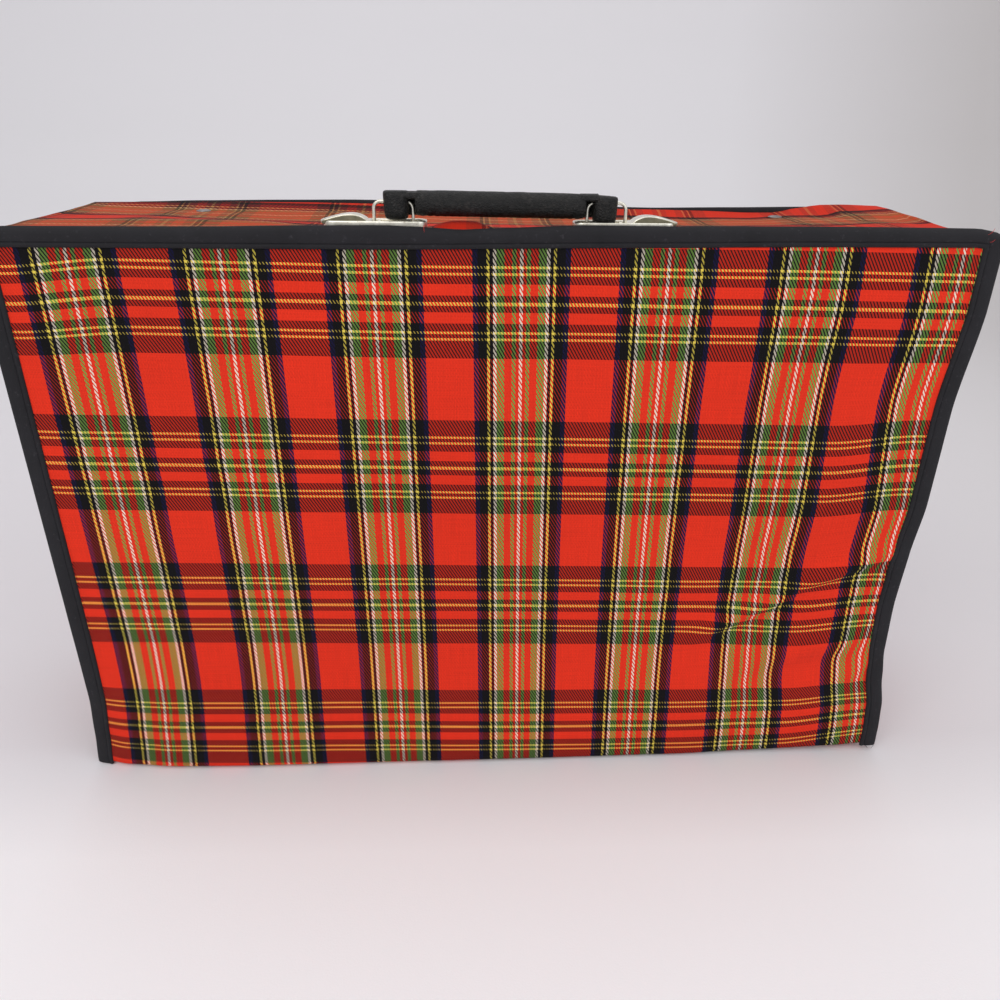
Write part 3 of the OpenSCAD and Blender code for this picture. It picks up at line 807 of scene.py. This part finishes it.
def panelCloth(name, panel):
    half, top = case["halfWidth"] - clothSizes["inset"], case["height"] - clothSizes["inset"]
    low, r, thick = panel["low"], clothSizes["footRadius"], clothSizes["thick"]
    rows = panelRows(low)
    lengths = [0.0]
    for (y0, z0), (y1, z1) in zip(rows, rows[1:]):
        lengths.append(lengths[-1] + math.hypot(y1 - y0, z1 - z0))
    columns = steps(-half, half, clothSizes["cell"])

    def place(i, x):
        y, z = rows[i]
        (y0, z0), (y1, z1) = rows[max(i - 1, 0)], rows[min(i + 1, len(rows) - 1)]
        size = math.hypot(y1 - y0, z1 - z0)
        y -= faceDepth(x, max(z, low + r), panel["creases"]) * min(1.0, max(0.0, (z - low) / r))
        inside = (x, y + (z0 - z1) / size * thick, z + (y1 - y0) / size * thick)
        across, up = drift(x, z)
        u = x + slide(x) - across - (clothSizes["whiteLine"] + panel["shift"])
        v = top - lengths[i] - up - clothSizes["yellowLine"]
        return panelPoint(panel, (x, y, z)), panelPoint(panel, inside), (u, v)

    made = grids(range(len(rows)), lambda i: columns, place)
    piece = shell(name + "Face", *made, materials["cloth"], flip=not panel["mirror"])
    dress(piece, name, "cloth", name + "_cloth")


for name, panel in panels.items():
    panelCloth(name, panel)
print("lid and back cloth ready")


# Lid and back: binding tape

binding = {
    "wide": 10.0, "thick": 0.45, "groove": 7.9, "cell": 4.0, "corner": 3.2, "follow": 0.8,
    "wave": 0.22, "waveLong": 23, "rearWave": -0.4, "seamIn": 0.42, "stitchIn": 0.12,
}


def bindingPath(inset, low):
    half, top = case["halfWidth"], case["height"]
    corners = [(-half + inset, low), (-half + inset, top - inset), (half - inset, top - inset),
               (half - inset, low)]
    points, run = [], 0.0
    for k, ((x0, z0), (x1, z1)) in enumerate(zip(corners, corners[1:])):
        full = case["height"] - low if k != 1 else 2 * half
        n = math.ceil(full / binding["cell"])
        for i in range(0 if k == 0 else 1, n + 1):
            t = i / n
            points.append((x0 + (x1 - x0) * t, z0 + (z1 - z0) * t, run + full * t))
        run += full
    return points


def tapeProfile():
    # inset from the edge and depth, from the front leg's inner edge round to the rear leg's
    face, rear = case["front"] + clothSizes["inset"], case["flangeIn"]
    wide, g = binding["wide"], binding["groove"]
    front = [(wide, 0.05), (9.95, -0.45), (9.6, -0.72), (9.1, -0.84), (g + 0.75, -0.84), (g + 0.3, -0.62),
             (g, -0.30), (g - 0.3, -0.62), (g - 0.8, -0.92), (5.0, -1.12), (2.8, -1.05), (1.2, -0.72),
             (0.35, -0.05), (0.0, 0.8)]
    back = [(0.0, 1.4), (0.3, 0.55), (1.0, 0.12), (2.4, 0.0), (g - 0.8, 0.0), (g, 0.35), (g + 0.8, 0.0),
            (9.5, 0.0), (wide, 0.3), (wide, 0.72)]
    return [(i, face + d) for i, d in front] + [(-0.05, (face + rear) / 2)] + [(i, rear - d) for i, d in back]


def bindingInward(x, z, inset):
    side = abs(x) > case["halfWidth"] - inset - 0.01
    over = z > case["height"] - inset - 0.01
    return (0.0 if over and not side else -math.copysign(1, x)), (-1.0 if over else 0.0)


def tapeDepth(panel, x, z):  # the lid's tape follows its cloth in and out
    return 0.0 if panel["mirror"] else faceDepth(x, z, panel["creases"]) * binding["follow"]


def panelBinding(name, panel):
    profile = tapeProfile()
    across = [0.0]
    for (i0, y0), (i1, y1) in zip(profile, profile[1:]):
        across.append(across[-1] + math.hypot(i1 - i0, y1 - y0))
    half, top = case["halfWidth"], case["height"]
    corner, thick = binding["corner"], binding["thick"]

    def place(k, column):
        x, z, run = column
        inset, y = profile[k]
        (i0, y0), (i1, y1) = profile[max(k - 1, 0)], profile[min(k + 1, len(profile) - 1)]
        size = math.hypot(i1 - i0, y1 - y0)
        inwardX, inwardZ = bindingInward(x, z, inset)
        reach, deep = (y0 - y1) / size * thick, (i1 - i0) / size * thick  # towards the panel
        wave = binding["wave"] * ripple(run, inset * 3, binding["waveLong"], 3.0) * (1 if inset > 6 else 0.5)
        if panel["mirror"] and y > case["flangeIn"] - 0.8:
            wave = binding["rearWave"]  # the rear tape lies flat, so that the walls fold past it
        if y < (case["front"] + case["flangeIn"]) / 2:
            wave -= tapeDepth(panel, x, z)
        x, z = roundCorner(x, z, half, top - corner, corner)
        inside = (x + inwardX * reach, y + wave + deep, z + inwardZ * reach)
        return panelPoint(panel, (x, y + wave, z)), panelPoint(panel, inside), (run, across[k])

    made = grids(range(len(profile)), lambda k: bindingPath(profile[k][0], panel["low"]), place)
    piece = shell(name + "Binding", *made, materials["tape"], flip=panel["mirror"], sharp=60)
    dress(piece, name, "tape", name + "_binding")


def grooveLine(panel, y, follow):
    path = bindingPath(binding["groove"], panel["low"] + 3)
    return [panelPoint(panel, (x, y - follow * tapeDepth(panel, x, z), z)) for x, z, _ in path]


for name, panel in panels.items():
    panelBinding(name, panel)
for (name, panel), seed in zip(panels.items(), (3, 5)):
    front = case["front"] + clothSizes["inset"] - binding["seamIn"]
    rear = case["flangeIn"] - binding["stitchIn"]
    stitches(name + "Stitches", [grooveLine(panel, front, 1), grooveLine(panel, rear, 0)], name, seed)
print("bindings ready")


# Walls: cloth

wallWeave = {"white": 38.7, "skew": 0.0396, "yellow": 103.1, "stretch": 1.035, "cell": 4.0, "underCell": 8.0}


def ringPoint(s, inset):
    # a place along the cross-section: up the left side, over the top, down the right, and under at both ends
    wx, wz = case["wallX"] - inset, case["wallZ"]
    if s < 0:
        return (-case["wallX"] - s, inset)
    if s <= wz:
        return (-wx, inset + s * (wz - 2 * inset) / wz)
    if s <= wz + 2 * case["wallX"]:
        return (-wx + (s - wz) * wx / case["wallX"], wz - inset)
    if s <= 2 * wz + 2 * case["wallX"]:
        return (wx, wz - inset - (s - wz - 2 * case["wallX"]) * (wz - 2 * inset) / wz)
    return (case["wallX"] - (s - 2 * wz - 2 * case["wallX"]), inset)


def wallPiece(name, rowsY, span):
    # a sheet of wall cloth over rows of places s for each depth y, given by span(y)
    over = case["wallZ"] + case["wallX"]  # s at the middle of the top

    def place(y, s):
        points = []
        for inset in (0.0, case["cloth"]):
            x, z = ringPoint(s, inset)
            points.append(settleWall((x, y, z)))
        lean = min(case["wallX"], max(-case["wallX"], s - over))
        tuck = settled["pouch"]["tuck"] * pouch(s - over, y) if abs(s - over) < 100 else 0.0
        u = y - tuck - wallWeave["white"] + wallWeave["skew"] * (lean + 225)
        return *points, (u, (s - over + slide(lean) - wallWeave["yellow"]) / wallWeave["stretch"])

    return shell(name, *grids(rowsY, span, place), materials["wallCloth"], flip=True)


cornerSteps = [0.0, 1.2, 2.5, 4.0, 6.0, 9.0]  # places close together round a corner


def topCorner(a, b):  # places between a and b, close together round the upper corner
    corner = case["wallZ"]
    near = [corner + way * v for v in cornerSteps for way in (-1, 1)]
    far = {round(v, 3) for v in steps(a, b, 6.0) if abs(v - corner) > 10}
    return sorted(far | {v for v in near if a <= v <= b} | {a, b})


sTop0, sTop1 = case["wallZ"] + 3.0, case["wallZ"] + 2 * case["wallX"] - 3.0
ringLong = 2 * case["wallZ"] + 2 * case["wallX"]
mirrored = lambda values: [ringLong - v for v in reversed(values)]


def makeWalls():
    c0, c1, mid, end = case["collarFront"], case["collarBack"], case["crease"], case["rearEnd"]
    halves = {"front": (c1, mid), "rear": (mid, end)}
    leftHalf = cornerSteps + [v for v in topCorner(0.0, case["wallZ"] + case["wallX"]) if v > 10]
    ringSpan = leftHalf + mirrored(leftHalf[:-1])
    collar = wallPiece("collarSkin", steps(c0, c1, wallWeave["cell"]), lambda y: ringSpan)
    dress(collar, "front_frame", "cloth", "collar_cloth")

    def hang(piece, wall, part):
        body = wall + "_" + part
        if part == "front":
            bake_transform(piece)
        else:
            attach(piece, body)
        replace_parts(piece, body + "_cloth")

    def away(y):  # how far a place is from the nearer of the collar's and the back's edge
        return min(y - c1, 2 * mid - c1 - y)

    def sideSpan(y):
        low = case["sideEnd"] + away(y) + 0.05
        return [low + (case["wallZ"] - 2 * low) * i / 44 for i in range(45)]

    topSpan = steps(sTop0, sTop1, 6.0)
    spans = {"left": sideSpan, "right": lambda y: mirrored(sideSpan(y)), "top": lambda y: topSpan}
    for wall, span in spans.items():
        for part, (y0, y1) in halves.items():
            piece = wallPiece(wall + part.capitalize() + "Cloth", steps(y0, y1, wallWeave["cell"]), span)
            hang(piece, wall, part)

    overTop = [317, 319, 321, 323, 324.5, 325.8, 327, 328.2, 329.0, sTop0]

    def webSpan(y):
        low = case["wallZ"] - case["sideEnd"] - away(y) + 0.05
        return [low + (overTop[0] - low) * i / 10 for i in range(10)] + overTop

    def footSpan(y):
        high = case["sideEnd"] + away(y) - 0.05
        return [-3.0, -1.5] + cornerSteps + [9.0 + (high - 9.0) * i / 10 for i in range(1, 11)]

    rowsY = steps(c1, mid, wallWeave["cell"]) + steps(mid, end, wallWeave["cell"])[1:]
    corners = (("cornerTopLeft", "web_top_left", webSpan),
               ("cornerTopRight", "web_top_right", lambda y: mirrored(webSpan(y))),
               ("cornerFootLeft", "web_bottom_left", footSpan),
               ("cornerFootRight", "web_bottom_right", lambda y: mirrored(footSpan(y))))
    for name, node, span in corners:
        piece = dress(wallPiece(name, rowsY, span), "front_frame", "cloth", node)
        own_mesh(piece)

    def under(name, y0, y1, reach):
        xs = steps(-reach, reach, wallWeave["underCell"])
        if reach > 243:
            xs = sorted(set(xs) | {side * x for x in (239, 241, 242.5, 244) for side in (-1, 1)})
        place = lambda y, x: (settleWall((x, y, 0.0)), settleWall((x, y, case["cloth"])),
                              (y - wallWeave["white"], x))
        return shell(name, *grids(steps(y0, y1, wallWeave["cell"]), lambda y: xs, place),
                     materials["wallCloth"])

    first = case["front"] + 2.5
    hinge = dress(under("hingeCloth", first, c1, case["wallX"]), "front_frame", "cloth", "hinge_cloth")
    for part, (y0, y1) in halves.items():
        hang(under("bottom" + part.capitalize() + "Cloth", y0, y1, case["topHalfX"]), "bottom", part)


makeWalls()
print("walls ready")


# Boards and linings

def makeInside():
    acrossX = [x for x in range(-240, 241, 8)]
    upZ = [z for z in range(10, 330, 20)]
    cornerX = [-243.5, -242, -239, 239, 242, 243.5]
    cornerZ = [316, 319, 321, 323, 325, 1.5, 3, 5]
    for body, settle in (("lid", settleInside), ("back", settleBack)):
        for node, slot in (("_board", "card"), ("_lining", "lining")):
            settledCopy(body + node, settle, (acrossX, [], upZ), body, slot)
    collarCuts = (acrossX + cornerX, [-50, -43], upZ + cornerZ)
    settledCopy("collar_board", settleWall, collarCuts, "front_frame", "card")
    for wall in ("left", "right", "top", "bottom"):
        for end, ys in (("_front", steps(-32, 8, 5.0)), ("_rear", steps(16, 58, 4.0))):
            cuts = (acrossX, ys, []) if wall in ("top", "bottom") else ([], ys, upZ)
            settledCopy(wall + end + "_board", settleBoard, cuts, wall + end, "card")


makeInside()
print("boards and linings ready")


# Catch plates, levers, rings

plate = {
    "x": 61.0, "long": 50.0, "wide": 15.0, "corner": 5.0, "floor": 328.9, "rimTop": 332.1, "endRimTop": 330.1,
    "lowFrom": 80.4, "lowTo": 82.4, "lowHalf": 5.2, "lowEnd": 6.0,
    "windowX": 75.2, "windowHalf": 3.8, "windowLow": 328.95, "windowTop": 330.1, "windowIn": 1.6,
    # the rolled rim: distance in from the outline, and height below its top
    "rim": [(0.0, 0.75), (0.06, 0.4), (0.26, 0.14), (0.6, 0.0), (0.95, 0.08), (1.22, 0.32), (1.32, 0.66),
            (1.2, 1.0), (0.9, 1.2)],
}
ring = {
    "x": 52.25, "wide": 19.0, "pivot": 330.2, "bar": 340.6, "eyeIn": 1.45, "eyeWide": 1.6, "eyeRadius": 1.75,
}
lever = {
    "x": 64.4, "z": 330.88, "long": 23.0, "rise": 3.5, "tip": 0.8, "peak": 0.66, "half": 5.0, "thick": 0.7,
    "skirt": 0.5, "heel": 1.27, "cell": 0.7, "round": 3.4, "knuckle": 1.38, "noseX": 10.8,
    "earY": 5.3, "earThick": 1.0,
}


def outline(side, inset, height):
    # one loop round a plate, drawn in by inset; height(x, y) gives its z
    r = max(0.2, plate["corner"] - inset)
    halfX, halfY = plate["long"] / 2 - inset - r, plate["wide"] / 2 - inset - r
    points = []
    for k, (sx, sy) in enumerate(((1, 1), (-1, 1), (-1, -1), (1, -1))):
        for i in range(10):
            a = math.radians(90 * k + 10 * i)
            x, y = plate["x"] + sx * halfX + r * math.cos(a), case["plateY"] + sy * halfY + r * math.sin(a)
            points.append((side * x, y, height(x, y)))
    return points


def turnOutwards(obj):
    bm = bmesh.new()
    bm.from_mesh(obj.data)
    bmesh.ops.recalc_face_normals(bm, faces=bm.faces[:])
    bm.to_mesh(obj.data)
    bm.free()
    return obj


def solidPiece(name, ringSets, material, sharp):
    # one piece from several closed skins, each given by its rings of equal length
    points, faces = [], []
    for rings in ringSets:
        n = len(rings[0])
        base, last = len(points), len(points) + (len(rings) - 1) * n
        points += [p for one in rings for p in one]
        for start in range(base, last, n):
            for i in range(n):
                j = (i + 1) % n
                faces.append((start + i, start + j, start + n + j, start + n + i))
        faces += [tuple(range(base + n - 1, base - 1, -1)), tuple(range(last, last + n))]
    return turnOutwards(newPiece(name, points, faces, material, None, sharp))


def cutBox(obj, low, high):
    corners = [(x, y, z) for x in (low[0], high[0]) for y in (low[1], high[1]) for z in (low[2], high[2])]
    sides = [(0, 1, 3, 2), (4, 6, 7, 5), (0, 4, 5, 1), (2, 3, 7, 6), (0, 2, 6, 4), (1, 5, 7, 3)]
    cutter = turnOutwards(newPiece("cutter", corners, sides, obj.data.materials[0], None, 20))
    modifier = obj.modifiers.new("window", "BOOLEAN")
    modifier.operation, modifier.solver, modifier.object = "DIFFERENCE", "EXACT", cutter
    mesh = evaluated(obj)
    obj.modifiers.remove(modifier)
    bpy.data.objects.remove(cutter)
    obj.data = mesh


def joinPieces(name, pieces, sharp):
    bm = bmesh.new()
    for piece in pieces:
        bm.from_mesh(piece.data)
    material = pieces[0].data.materials[0]
    for piece in pieces:
        bpy.data.objects.remove(piece)
    return fromBmesh(name, bm, material, sharp)


def lug(side, x, y, z, radius, thick, alongX):
    # a flat lug with a round top, standing on the plate's floor
    low = plate["floor"] - 0.3 - z
    shape = [(radius * math.cos(math.pi * i / 12), radius * math.sin(math.pi * i / 12)) for i in range(13)]
    shape += [(-radius, low), (radius, low)]
    if alongX:
        return [[(side * (x + step), y + u, z + w) for u, w in shape] for step in (0, thick)]
    return [[(side * (x + u), y + step, z + w) for u, w in shape] for step in (0, thick)]


def rimHeight(inset, below):
    # the outer end of the rim is low, behind the lever
    def height(x, y):
        across = 1 - smooth(plate["lowHalf"], plate["lowEnd"], abs(y - case["plateY"]))
        low = smooth(plate["lowFrom"], plate["lowTo"], x) * across
        top = plate["rimTop"] - (plate["rimTop"] - plate["endRimTop"]) * low
        return max(top - below, plate["floor"] + 0.03) if inset > 0.8 else top - below
    return height


def makePlates():
    y = case["plateY"]
    halfRing = ring["wide"] / 2 - ring["eyeIn"]
    levelAt = lambda z: lambda px, py: z
    loops = [(0.25, levelAt(case["wallZ"])), (0.0, levelAt(case["wallZ"] + 0.25))]
    loops += [(inset, rimHeight(inset, below)) for inset, below in plate["rim"]]
    loops += [(0.85, levelAt(plate["floor"] + 0.02)), (1.1, levelAt(plate["floor"]))]
    for side, name in ((-1, "left"), (1, "right")):
        tray = solidPiece("tray", [[outline(side, *loop) for loop in loops]], materials["steel"], 35)
        xs = sorted(side * (plate["windowX"] + way * plate["windowHalf"]) for way in (-1, 1))
        cutBox(tray, (xs[0], y - 9, plate["windowLow"]),
               (xs[1], y - plate["wide"] / 2 + plate["windowIn"], plate["windowTop"]))
        lugs = [lug(side, x, y, ring["pivot"], ring["eyeRadius"], ring["eyeWide"], True)
                for x in (ring["x"] - halfRing, ring["x"] + halfRing - ring["eyeWide"])]
        lugs += [lug(side, lever["x"], earY, lever["z"], lever["knuckle"], lever["earThick"], False)
                 for earY in (y - lever["earY"] - lever["earThick"], y + lever["earY"])]
        ears = solidPiece("ears", lugs, materials["steel"], 35)
        node = "catch_plate_" + name
        dress(joinPieces(camel(node), [tray, ears], 35), "front_frame", "steel", node)


def leverTop(x):
    t = max(0.0, x / lever["long"])
    heel = 0.9 * (min(0.0, x) / lever["heel"]) ** 2
    return lever["z"] + lever["tip"] * t + lever["rise"] * math.sin(math.pi * t ** lever["peak"]) + 0.4 - heel


def leverSection(x):
    # the pressed arch from one skirt's foot over to the other's, outside and inside
    top = leverTop(x)
    toTip = (lever["long"] - x) / lever["round"]
    half = lever["half"] * (0.62 + 0.38 * math.sqrt(max(0.0, 1 - (1 - min(1.0, toTip)) ** 2)))
    foot = lever["z"] - lever["skirt"] + 0.5 * smooth(lever["long"] - 1.2, lever["long"], x)
    foot -= 0.28 * (1 if abs(x - lever["noseX"]) < 1.5 else 0)
    foot = min(top - 0.5, foot)
    th = lever["thick"]
    outside = [(half, 0.95), (half - 0.1, 0.5), (half - 0.42, 0.12), (half - 1.0, -0.02), (half * 0.5, -0.1)]
    inside = [(half - th, 1.15), (half - th - 0.05, 1.0), (half - th - 0.2, 0.86), (half - th - 0.55, 0.76),
              (half * 0.5, 0.66)]

    def arch(side, crown, legs):
        left = [(-y, max(foot, top - d)) for y, d in side]
        right = [(-y, z) for y, z in reversed(left)]
        return [(-legs, foot)] + left + [(0, top + crown)] + right + [(legs, foot)]

    return arch(outside, 0.14, half), arch(inside, -0.6, half - th)


def makeLevers():
    y = case["plateY"]
    for side, name in ((-1, "left"), (1, "right")):
        rings = []
        for x in steps(-lever["heel"], lever["long"], lever["cell"]):
            outer, inner = leverSection(x)
            rings.append([(side * (lever["x"] + x), y + a, z) for a, z in outer + inner[::-1]])
        knuckle = []
        for ky, less in ((-5.0, 0.18), (-4.9, 0.0), (4.9, 0.0), (5.0, 0.18)):
            r = lever["knuckle"] - less
            turns = [math.radians(a) for a in range(0, 360, 20)]
            knuckle.append([(side * lever["x"] + r * math.cos(t), y + ky, lever["z"] + r * math.sin(t))
                            for t in turns])
        node = "lever_" + name
        obj = solidPiece(camel(node), [rings, knuckle], materials["steel"], 50)
        # the side faces take the darker copy of the steel: painted shade and a painted olive reflection
        obj.data.materials.append(materials["sideShadeSteel"])
        for face in obj.data.polygons:
            if abs(face.normal.y) > 0.8:
                face.material_index = 1
        dress(obj, node, "steel", node)


makePlates()
makeLevers()


# head radius and height, shank radius and length, washer radius and height
headSizes = {"plate_rivets": (2.2, 0.62, 1.2, 4.65, 3.2, 0.5), "top_studs": (4.3, 1.0, 1.2, 2.9, 2.2, 0.5)}
headPlaces = {"rivetIn": 3.2, "studX": 173.0, "studBehindCrease": 32}


def makeHeads():
    keys = ("Head Radius", "Head Height", "Shank Radius", "Shank Length", "Washer Radius", "Washer Height")
    reach = plate["long"] / 2 - headPlaces["rivetIn"]
    xs = [side * (plate["x"] + end * reach) for side in (-1, 1) for end in (-1, 1)]
    rivets = [[(x, case["plateY"], plate["floor"])] for x in xs]
    y = case["crease"] + headPlaces["studBehindCrease"]
    studs = [[settleWall((side * headPlaces["studX"], y, case["wallZ"]))] for side in (-1, 1)]
    for node, spots, body, finish in (("plate_rivets", rivets, "front_frame", "steel"),
                                      ("top_studs", studs, "top_rear", "greySteel")):
        name = camel(node)
        values = {key: size * mm for key, size in zip(keys, headSizes[node])}
        source = pathObject(name + "Points", spots)
        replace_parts(geoPiece(name, source, headTree, values, body, "steel", materials[finish]), node)


makeHeads()
plainMetal = ("keeper_left", "keeper_right", "keeper_rivets", "lever_pins", "lever_spring_left",
              "lever_spring_right", "ring_left", "ring_right", "grip_core")
for nodeName in plainMetal:
    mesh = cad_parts[nodeName].data
    mesh.materials.clear()
    mesh.materials.append(materials["steel"])
print("metalwork ready")


# Grip

grip = {
    "half": 41.4, "axis": 339.4, "radius": 5.9, "endRadius": 5.7, "tilt": 0.012, "hoodLong": 12.4,
    "hoodIn": {-1: 1.5, 1: 1.05}, "crumple": 0.42, "endCell": [0.0, 0.35, 1.0, 2.2],
    # the hood from its foot to its top: height from the ring's bar, half width, half depth, squareness
    "hood": [(-8.45, 4.5, 2.2, 2.6), (-8.1, 5.2, 3.4, 2.8), (-7.2, 5.6, 4.3, 2.8), (-5.6, 5.9, 4.9, 2.6),
             (-3.0, 6.1, 5.2, 2.5), (0.0, 6.2, 5.3, 2.5), (2.2, 6.25, 5.1, 2.7), (3.5, 6.2, 4.5, 3.0),
             (4.2, 5.95, 3.7, 3.2), (4.5, 5.3, 2.8, 3.4)],
    # the neck round the inner post of the ring: across and up from the ring's bar
    "neck": [(-4.0, 1.3), (-4.7, 2.5), (-3.9, 4.2), (0.0, 4.8), (3.9, 4.2), (4.9, 2.3), (4.9, -2.5),
             (4.8, -6.2), (4.3, -6.6), (3.6, -6.2), (1.8, -0.4), (1.6, 1.3)],
}


def oval(n, power):
    # cosine and sine in n steps round a circle, squared up by power
    for i in range(n):
        a = 2 * math.pi * i / n
        yield [math.copysign(abs(v) ** (2 / power), v) for v in (math.cos(a), math.sin(a))]


def gripAxis(x):
    return grip["axis"] + 0.1 - grip["tilt"] * x


def gripBar():
    half, ends = grip["half"], grip["endCell"]
    rings = []
    for x in [-half + e for e in ends] + steps(3 - half, half - 3, 2.0) + [half - e for e in reversed(ends)]:
        away = half - abs(x)
        r = grip["radius"] - (grip["radius"] - grip["endRadius"]) * smooth(14, 2, away)
        r -= 0.55 * (1 - smooth(0.0, 1.1, away))
        r += 0.12 * ripple(x, 0, 6, 9.0) + 0.08 * ripple(x, 3, 2.5, 4.0)
        rings.append([(x, case["plateY"] + r * c, gripAxis(x) + r * s) for c, s in oval(40, 2.15)])
    return rings


def hood(side):
    rings = []
    for rise, halfX, halfY, power in grip["hood"]:
        points = []
        for c, s in oval(48, power):
            px, py = halfX * c, halfY * s
            crumple = grip["crumple"] * ripple(px * 2, rise * 2, 4.0, 2.0 + side) * smooth(3, 5, abs(py))
            z = ring["bar"] + rise + (0.4 if side < 0 else -0.75 - 0.07 * (px + 6))
            points.append((side * (ring["x"] - grip["hoodIn"][side]) + px, case["plateY"] + py + crumple, z))
        rings.append(points)
    return rings


def neck(side):
    ends = (grip["half"] - 2.5, grip["half"] + 0.4, ring["x"] - grip["hoodLong"] / 2 + 1.5)
    drop = 0.0 if side < 0 else 0.5
    return [[(side * x, case["plateY"] + a, ring["bar"] + b - drop) for a, b in grip["neck"]] for x in ends]


obj = solidPiece("gripCover", [gripBar(), hood(-1), hood(1), neck(-1), neck(1)], materials["vinyl"], 60)
dress(obj, "grip", "vinyl", "grip_cover")
seam = [[(x, case["plateY"] + 0.4, gripAxis(x) - grip["radius"] + 0.08) for x in steps(-38, 38, 4.0)]]
stitches("gripStitches", seam, "grip", 11, 3.6, 2.6, 0.5, blackThread, "vinyl")
print("grip ready")


# Frayed threads

def threads(name, lines, radius, material, body, slot):
    ringSets = []
    for line in lines:
        rings = []
        for k, p in enumerate(line):
            a, b = Vector(line[max(k - 1, 0)]), Vector(line[min(k + 1, len(line) - 1)])
            ahead = (b - a).normalized()
            side = ahead.cross(Vector((0.3, 0.2, 0.93))).normalized()
            up = side.cross(ahead)
            r = radius * (0.6 if k in (0, len(line) - 1) else 1.0)
            turns = [2 * math.pi * i / 6 for i in range(6)]
            rings.append([tuple(Vector(p) + r * (math.cos(t) * side + math.sin(t) * up)) for t in turns])
        ringSets.append(rings)
    dress(solidPiece(name, ringSets, material, 60), body, slot)


threads("lidThreads", [
    [(239, -65.6, 328.6), (240.2, -66.0, 329.7), (241.0, -66.1, 331.0), (241.2, -66.0, 331.9)],
    [(243, -65.8, 326.4), (241.6, -66.3, 325.4), (240.2, -66.4, 325.2)],
    [(-37.6, -61.3, 330.3), (-37.4, -62.8, 330.5), (-37.0, -65.0, 329.6), (-36.8, -65.9, 327.9)],
], 0.1, redThread, "lid", "cloth")
threads("tapeFray", [
    [(-251.5, -65.2, 2.2), (-252.8, -66.2, 1.2), (-253.4, -67.0, 0.5)],
    [(-246.5, -66.0, 2.4), (-246.2, -67.2, 1.0), (-247.0, -68.2, 0.4)],
    [(252.0, -65.2, 6.0), (252.6, -66.0, 3.2), (251.2, -66.6, 1.6)],
    [(247.0, -65.2, 6.0), (247.4, -66.3, 3.4), (248.4, -66.9, 2.4)],
], 0.18, blackThread, "lid", "tape")
print("threads ready")

toLists = lambda box: [[float(c) for c in corner] for corner in box]
{"cad": toLists(cadBounds), "visual": toLists(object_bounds())}
